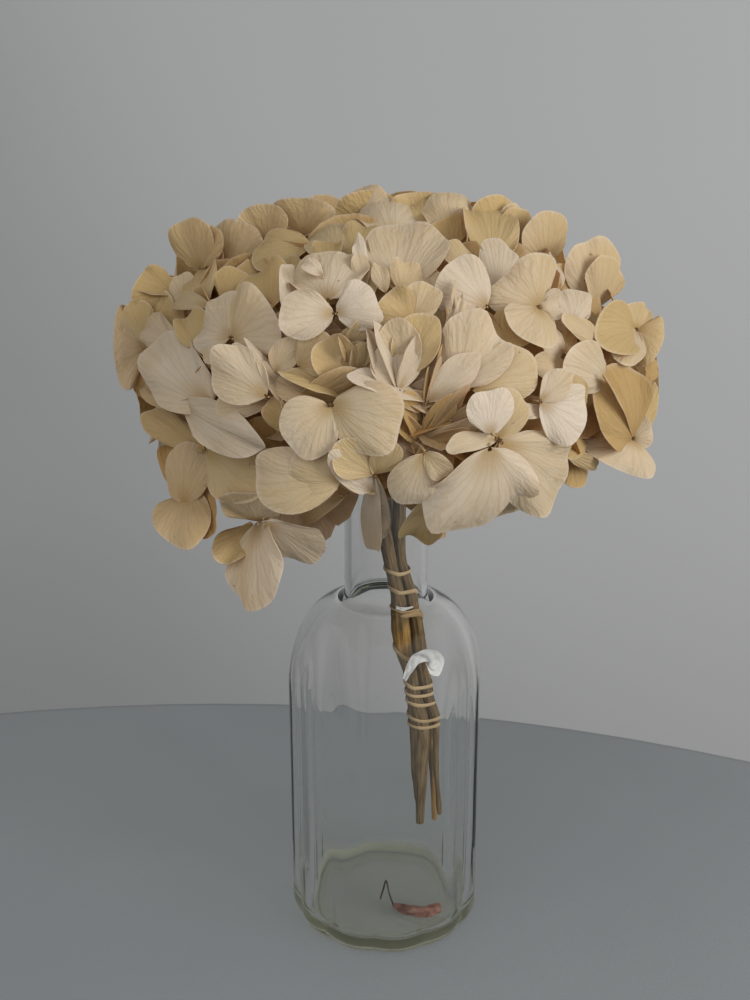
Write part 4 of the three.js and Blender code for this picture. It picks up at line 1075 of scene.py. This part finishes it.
apart = np.linalg.norm(root_seen[:, None] - root_seen[None], axis=-1)
first_near = np.argmax(apart < ROOTS_MEET, axis=1)
shared, floret_of, sepals_in = np.unique(first_near, return_inverse=True, return_counts=True)
floret_at = np.zeros((len(shared), 3))
np.add.at(floret_at, floret_of, root_seen)
floret_at /= sepals_in[:, None]
print("followed sepals share", len(shared), "florets, the fullest with", sepals_in.max())

# %% [markdown]
# ## Florets that fill the dome
# The rest of the dome is filled along a golden-angle spiral, which spreads points evenly with no
# rows. A second, deeper layer closes the gaps, as the crowded inner florets do on the real head.
# Where a followed sepal already lies, the floret is sunk behind it, so that it still closes the
# view from the sides without coming out in front.

# %% Spiral of florets
FILL = {"places": 66, "reach": 1.4, "crowding": 1.25, "clear": 21, "smallest": 20, "largest": 26,
        "flattest": 12, "fullest": 40, "yaw_swing": 40, "pitch_swing": 30}
INNER = {"places": 90, "reach": 1.45, "crowding": 1.2, "sunk": -17, "smallest": 15, "largest": 22,
         "flattest": 15, "fullest": 65, "yaw_swing": 80, "pitch_swing": 60, "first_number": 200}
# depth is the share of painted warm shade in the colour of a floret sunk behind a followed sepal.
BEHIND = {"sunk": 17, "near": 26, "depth": 0.4, "fullest": 20}


def spiral(places, reach, crowding, lift):
    """Golden-angle places from the crown to below the rim: height = 1 - share^crowding x reach."""
    i = np.arange(places)
    height = 1 - ((i + 0.5) / places) ** crowding * reach
    return i, on_dome(90 + i * 180 * (3 - math.sqrt(5)), np.degrees(np.arcsin(height)), lift)


def facing_out(i, at, yaw_swing, pitch_swing):
    """Looks away from the dome's middle, turned by a random share of the swings."""
    outward = at - DOME["middle"]
    yaw = np.degrees(np.arctan2(outward[:, 0], -outward[:, 1])) + yaw_swing * (draw(i + 0.1) - 0.5)
    pitch = np.degrees(np.arcsin(unit(outward)[:, 2])) + pitch_swing * (draw(i + 0.2) - 0.3)
    return towards(yaw, pitch)


def drawn_florets(i, kind, curl_swing):
    """Roll, sepal length, cup and curl of florets on the spiral, drawn within their kind's limits."""
    return np.stack([
        90 * draw(i + 0.3),
        mixed(kind["smallest"], kind["largest"], draw(i + 0.4)),
        mixed(kind["flattest"], kind["fullest"], draw(i + 0.5)),
        -30 + curl_swing * draw(i + 0.6),
    ], axis=-1)


def sunk_behind(points):
    """Points near a followed sepal moved towards the dome's middle, and which ones they were."""
    gap = np.min(np.linalg.norm(points[:, None] - middle_seen[None], axis=-1), axis=1)
    behind = gap < BEHIND["near"]
    inward = unit(DOME["middle"] - points)
    return np.where(behind[:, None], points + inward * BEHIND["sunk"], points), behind


print("golden angle:", round(180 * (3 - math.sqrt(5)), 1), "degrees")

# %% [markdown]
# ## All florets together
# The florets given in the table, those on the spiral and those inside go into one list, because the
# same formulas then grow them all. A place on the spiral is used only where no floret from the
# table is near. The share called deep says how far inside the bunch a floret sits, and sets how
# much painted warm shade its colour gets.

# %% All florets
i, fill_at = spiral(FILL["places"], FILL["reach"], FILL["crowding"], 0)
free = np.min(np.linalg.norm(fill_at[:, None] - shown_at[None], axis=-1), axis=1) > FILL["clear"]
i, fill_at = i[free], fill_at[free]
k, inner_at = spiral(INNER["places"], INNER["reach"], INNER["crowding"], INNER["sunk"])
k = k + INNER["first_number"]
shown_at, hidden = sunk_behind(shown_at)
fill_at, covered = sunk_behind(fill_at)
centre = np.concatenate([shown_at, fill_at, inner_at])
fill_looks = facing_out(i, fill_at, FILL["yaw_swing"], FILL["pitch_swing"])
inner_looks = facing_out(k, inner_at, INNER["yaw_swing"], INNER["pitch_swing"])
looks = np.concatenate([shown_looks, fill_looks, inner_looks])
drawn = [SHOWN[:, 5:], drawn_florets(i, FILL, 30), drawn_florets(k, INNER, 40)]
roll, size, cup, curl = np.concatenate(drawn).T
# deep: how far in each floret sits, used as the share of painted warm shade in its colour; sunk florets get
# some, those inside all of it.
deep = np.concatenate([BEHIND["depth"] * hidden, BEHIND["depth"] * covered, np.ones(len(k))])
cup = np.where((deep > 0) & (deep < 1), np.minimum(cup, BEHIND["fullest"]), cup)
print("florets:", len(SHOWN), "set by hand,", len(i), "on the spiral,", len(k), "inside")

# %% [markdown]
# ## One sepal
# A sepal is a thin broad blade that fans out from a narrow root, with a wavy rim. It is bowed,
# folded along its middle, twisted a little and pleated along its veins. It could be sculpted once
# and copied, but dried sepals all differ, so one formula makes every one of them at once. Its grid
# spreads like a fan, from the root to the rim, so that pleats and veins run as on the real blade.

# %% Sepal surfaces
RIM_TURN = 0.9 * np.pi
CLAW = 0.04
WIDEST = 0.95
CREASE = {"round": 0.012, "root": 0.11}


def fan_grid(rows, columns):
    """The share of the way from root to rim, and the turn round the rim, which is 0 at the tip."""
    return np.linspace(CLAW, 1, rows)[:, None], np.linspace(-RIM_TURN, RIM_TURN, columns)[None, :]


def sepal_surfaces(root, out, looks, s, grid):
    """The middle surfaces of many sepals. The rim is an oval drawn in towards the root, and every
    other point is a share of the way to it. Along its length the blade follows a circle's arc,
    and so do its sides; then come a crease on the middle, waves round the rim and fan pleats."""
    share, turn = grid
    p = {key: value[:, None, None] for key, value in s.items()}
    slow_wave, quick_wave = np.sin(3 * turn + p["phase"]), np.sin(5 * turn - 2 * p["phase"])
    wavy = 1 + p["notch"] * (slow_wave + 0.6 * quick_wave)
    rim_y = ((1 + np.cos(turn)) / 2) ** p["forward"]
    rim_x = np.sign(turn) * np.abs(np.sin(turn)) ** p["pointed"] * rim_y**0.09 / WIDEST
    y = share * rim_y * wavy
    x = share * rim_x * wavy
    cup, curl = np.radians(p["cup"]), np.radians(p["curl"]) + 1e-4
    angle = cup + curl * y
    along = p["length"] * (np.sin(angle) - np.sin(cup)) / curl
    rise = p["length"] * ((np.cos(cup) - np.cos(angle)) / curl + np.radians(p["tip"]) * y**4 / 4)
    half = p["width"] / 2
    fold = np.radians(p["fold"]) * (0.4 + 0.6 * y) + 1e-4
    spread = half * (np.sin(fold * x) / fold + p["skew"] * x * x)
    raised = half * (1 - np.cos(fold * x)) / fold
    crease = np.sqrt(x * x + CREASE["round"]) - CREASE["root"]
    raised = raised + half * p["crease"] * crease * (0.3 + 0.7 * y)
    raised = raised + p["ruffle"] * (slow_wave + 0.7 * quick_wave) * share**3
    raised = raised + p["pleat"] * np.sin(9 * turn + 3 * p["phase"]) * share * (1.4 - share)
    spread = spread + p["sway"] * p["length"] * y**2
    twist = np.radians(p["twist"]) * y
    out, looks = out[:, None, None], looks[:, None, None]
    side = np.cross(looks, out)
    normal = looks * np.cos(angle)[..., None] - out * np.sin(angle)[..., None]
    across = side * np.cos(twist)[..., None] + normal * np.sin(twist)[..., None]
    lift = normal * np.cos(twist)[..., None] - side * np.sin(twist)[..., None]
    line = root[:, None, None] + out * along[..., None] + looks * rise[..., None]
    return line + across * spread[..., None] + lift * raised[..., None]


print("a sepal's rim turns", round(math.degrees(2 * RIM_TURN)), "degrees, and the root closes the rest")

# %% [markdown]
# ## Four sepals to a floret
# The sepals stand in two pairs, the inner pair a little higher and more upright, so that they
# overlap like the real ones instead of meeting edge to edge. Their draws come from the floret's
# own number, which makes the same bunch on every run.

# %% Sepal sizes
HUB = 1.1
PAIR_RISE = 0.5
florets = len(centre)
number = np.arange(florets)[:, None]
j = np.arange(4)[None, :]


def r(k):
    """The k-th draw of every sepal of every floret, from 0 to 1."""
    return draw(number * 17.3 + j * 3.7 + k * 1.31)


pair = np.broadcast_to(j % 2, (florets, 4))
length = size[:, None] * (0.9 + 0.24 * r(1))
sepals = {
    "length": length,
    "width": length * (1.05 + 0.3 * r(2)),
    "cup": cup[:, None] + 12 * (r(3) - 0.5) + 12 * pair,
    "curl": curl[:, None] + 40 * (r(4) - 0.5),
    "tip": -35 + 50 * r(7),
    "fold": np.where(pair == 1, 5 + 40 * r(5), -20 + 45 * r(5)),
    "twist": 26 * (r(6) - 0.5),
    "forward": 0.75 + 0.25 * r(8),
    "pointed": 0.85 + 0.45 * r(9),
    "skew": 0.2 * (r(10) - 0.5),
    "sway": 0.16 * (r(11) - 0.5),
    "crease": 0.5 * (r(15) - 0.35),
    "notch": 0.015 + 0.025 * r(16),
    "pleat": 0.1 * r(17),
    "ruffle": 0.5 + 1.1 * r(12) ** 2,
    "phase": 6.28 * r(13),
    "tone_and_shade": np.clip(0.2 + 0.5 * r(14) + 0.15 * (centre[:, 2:] - DOME["middle"][2]) / DOME["up"], 0, 1),
    "seed": np.broadcast_to(number * 4.0, (florets, 4)) + j,
    "deep": np.broadcast_to(deep[:, None], (florets, 4)),
}
grown = {key: value.reshape(-1) for key, value in sepals.items()}
up = np.where(np.abs(looks[:, 2:]) > 0.95, [[0, 1.0, 0]], [[0, 0, 1.0]])
up = unit(up - np.sum(up * looks, axis=1, keepdims=True) * looks)
right = np.cross(up, looks)
turned = np.radians(roll[:, None] + 90 * j + 14 * (r(0) - 0.5))[..., None]
out = up[:, None] * np.cos(turned) + right[:, None] * np.sin(turned)
looks4 = np.broadcast_to(looks[:, None], out.shape)
root = centre[:, None] + out * HUB + looks4 * PAIR_RISE * (pair[..., None] - 0.5)
grown_placed = (root.reshape(-1, 3), out.reshape(-1, 3), looks4.reshape(-1, 3))
print("sepals by rule:", 4 * florets, "longest", round(float(length.max()), 1), "mm")

# %% [markdown]
# ## The followed sepals' own sizes
# A followed sepal runs from its root to its tip, so its length is that of an arc over the chord.
# Its face is turned to a direction between the viewer and the outside of the dome: turned wholly
# to the viewer, the sepals would show as blades from the side. What the photograph doesn't tell,
# such as a small twist, is drawn as for the others.

# %% Sizes of followed sepals
OUTWARD = 0.7
ARC_SLACK = 1.06
BROAD = {"least": 1.08, "more": 0.27, "on_edge": 40, "blunt": 0.3}
ROOT_STEP = {"out": 0.4, "up": 0.6}
USUAL_WIDTH = 14

n = np.arange(len(followed)) + 0.37
width_seen, turned_by, bow, fold, point = followed[:, 6:].T
chord = tip_seen - root_seen
out_seen = unit(chord)
sight = unit(np.array(CAMERA_AT) - middle_seen)
sight = unit(sight + OUTWARD * unit(middle_seen - DOME["middle"]))
face = unit(sight - np.sum(sight * out_seen, axis=1, keepdims=True) * out_seen)
flat_on = np.clip(1 - np.abs(turned_by) / BROAD["on_edge"], 0, 1)
broad = BROAD["least"] + BROAD["more"] * flat_on * (point < BROAD["blunt"])
turned_by = np.radians(turned_by)[:, None]
face = face * np.cos(turned_by) + np.cross(out_seen, face) * np.sin(turned_by)
floret_looks = np.zeros((len(shared), 3))
np.add.at(floret_looks, floret_of, face)
floret_looks = unit(floret_looks)
root_seen = floret_at[floret_of] + out_seen * ROOT_STEP["out"]
root_seen = root_seen + face * ROOT_STEP["up"] * draw(n * 8.3)[:, None]
half_bow = np.radians(bow) / 2
high = (middle_seen[:, 2] - DOME["middle"][2]) / DOME["up"]
seen = {
    "length": np.linalg.norm(chord, axis=1) * half_bow / np.sin(half_bow) * ARC_SLACK,
    "width": width_seen / np.cos(turned_by[:, 0]) * broad,
    "cup": bow / 2,
    "curl": -bow,
    "tip": 20 * (draw(n * 1.7) - 0.6),
    "fold": fold + 12 * (draw(n * 2.3) - 0.5),
    "twist": 16 * (draw(n * 2.9) - 0.5),
    "forward": 0.75 + 0.25 * draw(n * 3.1),
    "pointed": 0.85 + 0.2 * draw(n * 3.7) + 1.2 * point,
    "skew": 0.2 * (draw(n * 4.1) - 0.5),
    "sway": 0.1 * (draw(n * 4.3) - 0.5),
    "crease": 0.45 * (draw(n * 6.1) - 0.45),
    "notch": 0.012 + 0.028 * draw(n * 6.7),
    "pleat": 0.05 + 0.17 * draw(n * 7.1),
    "ruffle": (0.45 + 0.9 * draw(n * 4.7)) * width_seen / USUAL_WIDTH,
    "phase": 6.28 * draw(n * 5.3),
    # The tone is partly drawn at random and partly painted shade: the nearer the dome the tip lies, the more
    # ochre.
    "tone_and_shade": np.clip(0.44 + 0.42 * draw(n * 5.9) + 0.004 * fold - 0.03 * tip_lift, 0, 1),
    "seed": 1000.0 + n,
    # deep: painted warm shade, more for sepals whose roots lie low, fading out towards the crown.
    "deep": np.clip((2 - root_lift) / 10, 0, 0.6) * np.clip(1.5 - 2 * high, 0, 1),
}
seen_placed = (root_seen, out_seen, face)
print("followed sepals: longest", round(float(seen["length"].max()), 1), "mm")

# %% [markdown]
# ## Three layers, three grids
# A followed sepal fills a good part of the picture and gets a fine grid, one grown by rule a
# plain one, and one inside the bunch, of which a corner shows, only a few dozen faces. Tips that
# reach past the rounded box are drawn back into it.

# %% Layers of sepals
SEPAL_THICKNESS = 0.2
FINE_GRID = (9, 31)
PLAIN_GRID = (4, 13)
COARSE_GRID = (3, 9)


def within_limit(points):
    """A point beyond the heads' rounded box is drawn back to it by a hyperbolic tangent."""
    offset = points - DOME["middle"]
    level = np.hypot(offset[..., 0] / LIMIT["across"], offset[..., 1] / LIMIT["deep"])
    height = np.abs(offset[..., 2]) / np.where(offset[..., 2] > 0, LIMIT["up"], LIMIT["down"])
    reach = (level ** LIMIT["boxiness"] + height ** LIMIT["boxiness"]) ** (1 / LIMIT["boxiness"])
    start = LIMIT["start"]
    kept = start + (1 - start) * np.tanh((reach - start) / (1 - start))
    scale = np.where(reach > start, kept / np.maximum(reach, 1e-6), 1)
    return DOME["middle"] + offset * scale[..., None]


is_inner = np.repeat(np.arange(florets) >= florets - len(k), 4)
grown_owner = np.repeat(centre, 4, axis=0)
layers = []
for grid_size, placed, values, owner, used in (
    (PLAIN_GRID, grown_placed, grown, grown_owner, ~is_inner),
    (COARSE_GRID, grown_placed, grown, grown_owner, is_inner),
    (FINE_GRID, seen_placed, seen, floret_at[floret_of], np.full(len(n), True)),
):
    placed = [array[used] for array in placed]
    values = {key: value[used] for key, value in values.items()}
    surfaces = within_limit(sepal_surfaces(*placed, values, fan_grid(*grid_size)))
    layers.append((grid_size, sheet_points(surfaces, SEPAL_THICKNESS), values, owner[used]))
    print("layer:", len(surfaces), "sepals on a grid of", grid_size)

# %% [markdown]
# ## Veins of a dried sepal
# The veins fan out from the root and fork towards the rim, with a fine net between them. They are
# read from each sepal's own UV map, whose columns run like the veins, so that they spread as the
# blade widens. A seed from the sepal moves the pattern, or every blade would carry the same one.

# %% Sepal veins
MAIN_VEINS = 17

f = Finish("dried_sepal")
at = f.add("TexCoord", output="UV")
split = f.add("SeparateXYZ", {0: at}).node
across, along = split.outputs[0], split.outputs[1]
seed = f.value("seed")
moved = {0: f.math("MULTIPLY", across, 6.0), 1: along, 2: f.math("MULTIPLY", seed, 3.7)}
moved = f.add("CombineXYZ", moved)
warp = f.noise(f.stretched(moved, (1, 2.0, 1)), 1.0, 2)
bent_by = f.math("MULTIPLY", f.math("SUBTRACT", warp, 0.5), 1.3)
veins_at = f.math("ADD", f.math("MULTIPLY", across, MAIN_VEINS), bent_by)
main_line = f.fade(f.math("PINGPONG", veins_at, 0.5), 0.0, 0.2, 1.0, 0.0)
forked = f.math("ADD", f.math("MULTIPLY", veins_at, 2.0), f.math("MULTIPLY", warp, 2.5))
fine_line = f.fade(f.math("PINGPONG", forked, 0.5), 0.0, 0.25, 1.0, 0.0)
fine_line = f.math("MULTIPLY", fine_line, f.fade(along, 0.35, 0.8))
vein = f.math("ADD", main_line, f.math("MULTIPLY", fine_line, 0.6), clamp=True)
net = f.noise(f.stretched(moved, (2.5, 7, 1)), 2.2, 3, 0.65)
ripple = f.noise(f.stretched(moved, (2.2, 1.6, 1)), 2.4, 2, 0.5, 0.4)
ripple = f.math("MULTIPLY", ripple, f.fade(along, 0.3, 0.85, 0.8, 4.0))
relief = f.math("ADD", f.math("MULTIPLY", vein, 0.45), f.math("MULTIPLY", net, 0.9))
sepal_bump = f.bump(f.math("ADD", relief, ripple), 0.3, 0.0006)
print("main veins to a full turn round the root:", MAIN_VEINS)

# %% [markdown]
# ## Ivory, cream and ochre
# A dried sepal is ivory to ochre, a little darker at its root and veins and flecked here and there.
# Its rim gets a thin paler line, a painted highlight for edges that catch the light. Each sepal has a
# tone of its own, turned towards ochre by painted shade the further in a followed sepal lies, and a
# soft cloud through the whole bunch keeps neighbours alike. Florets deep in the bunch get a painted
# warm ochre shade. The blade is thin enough to glow where light comes from behind, so a
# translucent share stands beside the matt surface.

# %% Sepal colours
# deep is the warm ochre of the painted shade inside the bunch.
SEPAL = {
    "ivory": (0.84, 0.785, 0.69, 1), "cream": (0.69, 0.54, 0.27, 1), "ochre": (0.55, 0.37, 0.14, 1),
    "fleck": (0.26, 0.14, 0.05, 1), "deep": (0.58, 0.34, 0.11, 1), "warm": (1.0, 0.84, 0.60, 1),
}
GLOW_SHARE = 0.45

where = f.add("TexCoord", output="Object")
cloud = f.noise(where, 34, 3, 0.6)
tone_and_shade = f.math("ADD", f.math("MULTIPLY", f.value("tone_and_shade"), 0.75), f.math("MULTIPLY", cloud, 0.45))
sepal_colour = f.colour(f.fade(tone_and_shade, 0.15, 0.75), SEPAL["ivory"], SEPAL["cream"])
sepal_colour = f.colour(f.fade(tone_and_shade, 0.7, 1.1, 0, 0.45), sepal_colour, SEPAL["ochre"])
sepal_colour = f.colour(f.fade(along, 0.0, 0.42, 0.75, 0.0), sepal_colour, SEPAL["ochre"])
sepal_colour = f.colour(f.math("MULTIPLY", vein, 0.16), sepal_colour, SEPAL["ochre"])
# Painted highlight: a thin paler line along the rim, for edges that catch the light.
sepal_colour = f.colour(f.fade(along, 0.94, 1.0, 0, 0.4), sepal_colour, SEPAL["ivory"])
flecks = f.fade(f.noise(where, 330, 2, 0.5), 0.74, 0.79, 0, 0.5)
sepal_colour = f.colour(flecks, sepal_colour, SEPAL["fleck"])
# Painted shade: florets deep in the bunch turn a warm ochre.
sepal_colour = f.colour(f.math("MULTIPLY", f.value("deep"), 0.75), sepal_colour, SEPAL["deep"])
matt = f.add("BsdfPrincipled", {
    "Base Color": sepal_colour, "Roughness": 0.65, "Specular IOR Level": 0.25, "Normal": sepal_bump,
})
warm = f.colour(1.0, sepal_colour, SEPAL["warm"], "MULTIPLY")
through = f.add("BsdfTranslucent", {"Color": warm, "Normal": sepal_bump})
dried_sepal = f.surface(f.add("MixShader", {0: GLOW_SHARE, 1: matt, 2: through}))
print("finish:", dried_sepal.name)

# %% [markdown]
# ## The three heads
# The florets are shared out among the three heads by the upright planes where the heads press
# together, and each head becomes one mesh, because a head is one grown piece.

# %% Heads
def depth_in_head(walls, points):
    """How far a point lies inside a head, from the nearer of its two walls."""
    first, second = np.radians(walls)
    normals = np.array([[-math.sin(first), math.cos(first)], [math.sin(second), -math.cos(second)]])
    return np.min((points[:, :2] - HEADS_MEET) @ normals.T, axis=1)


for name, head_walls in HEADS.items():
    points, faces, uv, offset = [], [], [], 0
    values = {"tone_and_shade": [], "seed": [], "deep": []}
    for (row_count, column_count), shells, numbers, owner in layers:
        chosen = depth_in_head(head_walls, owner) > 0
        count, each = int(chosen.sum()), 2 * row_count * column_count
        share, turn = fan_grid(row_count, column_count)
        fan = np.stack(np.broadcast_arrays(0.5 + turn / (2 * np.pi), share), axis=-1).reshape(-1, 2)
        points.append(shells[chosen].reshape(-1, 3))
        faces.append(repeated(sheet_faces(row_count, column_count), count, each) + offset)
        uv.append(np.tile(np.concatenate([fan, fan]), (count, 1)))
        for key in values:
            values[key].append(np.repeat(numbers[key][chosen], each))
        offset += count * each
    values = {key: np.concatenate(value) for key, value in values.items()}
    piece = new_piece(name + "_sepals", np.concatenate(points), faces, dried_sepal,
                      values, np.concatenate(uv), sharp=60)
    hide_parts(name)

# %% [markdown]
# ## Stalks and eyes: the finish
# Stalks are pale brown and eyes a dark one, both mottled. One material serves the two, because
# they share a mesh, and an attribute tells it which is which.

# %% Stalk finish
STALK_BROWN = {"dark": (0.40, 0.27, 0.13, 1), "light": (0.56, 0.41, 0.22, 1)}
EYE_BROWN = {"dark": (0.07, 0.035, 0.015, 1), "light": (0.20, 0.11, 0.05, 1)}

f = Finish("stalk_and_eye")
where = f.add("TexCoord", output="Object")
mottle = f.noise(where, 240, 3, 0.6)
stalk_colour = f.colour(f.fade(mottle, 0.35, 0.65), STALK_BROWN["dark"], STALK_BROWN["light"])
eye_colour = f.colour(f.fade(mottle, 0.35, 0.65), EYE_BROWN["dark"], EYE_BROWN["light"])
stalk_finish = f.surface(f.add("BsdfPrincipled", {
    "Base Color": f.colour(f.value("eye"), stalk_colour, eye_colour), "Roughness": 0.7,
    "Normal": f.bump(mottle, 0.4, 0.0005),
}))
print("finish:", stalk_finish.name)

# %% [markdown]
# ## Stalks and eyes: the shapes
# Behind the sepals each floret hangs on a thin stalk that curves down into a branch, and the
# branches meet on top of the stem. They show only in the gaps, yet without them the florets would
# float. An eye sits in each floret, apart from the followed ones that show one or two sepals.

# %% Stalk and eye shapes
BRANCHES = 9
BRANCH = {"steps": 10, "sides": 8, "thin": 0.9, "thick": 2.2, "rise": 14, "dip": 8, "swing": 0.2}
STALK = {"steps": 9, "sides": 5, "thin": 0.3, "thick": 0.75, "back": 9, "start": 0.4, "end": 0.35}
CORE = {"away": 31, "height": 222, "spread": 24, "reach": 1.5}
EYE = {"radius": 0.75, "rings": 6, "sides": 8, "flat": 0.8, "rise": 0.9, "end": 0.35, "sepals": 2}
# A direction that runs along no branch, stalk or look, so that it can start their rings.
SKEWED = {"branch": [0.7, -0.6, 0.2], "eye": [0.3, 0.5, 0.81]}


def bent(start, first, second, end, steps):
    """Cubic Bezier lines from start to end: the four points weighed by powers of t and 1 - t."""
    t = np.linspace(0, 1, steps)[None, :, None]
    a, p, q, z = [x[:, None] for x in (start, first, second, end)]
    return (1 - t) ** 3 * a + 3 * t * (1 - t) ** 2 * p + 3 * t**2 * (1 - t) * q + t**3 * z


def tapered_tubes(lines, ways, start, end, shape):
    """Tubes along lines that lead the given ways; the radius goes evenly from start to end."""
    radius = np.tile(mixed(start, end, np.linspace(0, 1, shape["steps"])), (len(lines), 1))
    side = unit(np.cross(ways, SKEWED["branch"]))[:, None]
    return tubes(lines, radius, side, shape["sides"])


def eyes(at, looks):
    """Small beads: rings of a ball, a little flattened along the way the floret looks."""
    polar = np.linspace(EYE["end"], np.pi - EYE["end"], EYE["rings"])[::-1]
    rise = np.cos(polar) * EYE["radius"] * EYE["flat"] + EYE["rise"]
    path = at[:, None] + looks[:, None] * rise[None, :, None]
    radius = np.broadcast_to(np.sin(polar) * EYE["radius"], path.shape[:2])
    side = unit(np.cross(looks, SKEWED["eye"]))
    return tubes(path, radius, side[:, None], EYE["sides"])


print("each head:", BRANCHES, "branches, from", BRANCH["thick"], "to", BRANCH["thin"], "mm in radius")

# %% [markdown]
# ## Stalks for the three heads
# The branches rise from the top of each stem and spread out evenly inside its head. Each floret
# then takes the nearest branch tip: its stalk leaves the floret backwards and bends in towards
# the middle of the dome, as if the floret had grown out from there.

# %% Stalks
for name, head_walls in HEADS.items():
    stem_top = np.array(STEMS[name.replace("head", "stem")][0][:3])
    bearing = math.radians(sum(head_walls) / 2)
    level = HEADS_MEET + CORE["away"] * np.array([math.cos(bearing), math.sin(bearing)])
    middle = np.append(level, CORE["height"])
    n = np.arange(BRANCHES)
    spread = towards(n * 137.5, np.degrees(np.arcsin(1 - CORE["reach"] * (n + 0.5) / BRANCHES)))
    tips = middle + spread * CORE["spread"]
    foot = np.tile(stem_top, (BRANCHES, 1))
    dipped = middle - [0, 0, BRANCH["dip"]] + BRANCH["swing"] * spread
    lines = bent(foot, foot + [0, 0, BRANCH["rise"]], dipped, tips, BRANCH["steps"])
    parts = [tapered_tubes(lines, tips - foot, BRANCH["thick"], BRANCH["thin"], BRANCH)]

    grown_here = depth_in_head(head_walls, centre) > 0
    seen_here = depth_in_head(head_walls, floret_at) > 0
    at = np.concatenate([centre[grown_here], floret_at[seen_here]])
    facing = np.concatenate([looks[grown_here], floret_looks[seen_here]])
    nearest = tips[np.argmin(np.linalg.norm(at[:, None] - tips[None], axis=-1), axis=1)]
    inward = unit(DOME["middle"] - at)
    backward = unit(inward * 1.2 - facing) * STALK["back"]
    behind, before_end = at - facing * STALK["start"], nearest + STALK["end"] * (at - nearest)
    lines = bent(behind, at + backward, before_end, nearest, STALK["steps"])
    parts.append(tapered_tubes(lines, nearest - at, STALK["thin"], STALK["thick"], STALK))

    has_eye = np.concatenate([np.full(grown_here.sum(), True), sepals_in[seen_here] > EYE["sepals"]])
    parts.append(eyes(at[has_eye], facing[has_eye]))
    offsets = np.cumsum([0] + [len(points) for points, _ in parts])
    faces = [face + offset for (_, group), offset in zip(parts, offsets) for face in group]
    is_eye = np.concatenate([np.zeros(offsets[2]), np.ones(offsets[3] - offsets[2])])
    points = np.concatenate([points for points, _ in parts])
    new_piece(name + "_stalks", points, faces, stalk_finish, {"eye": is_eye})
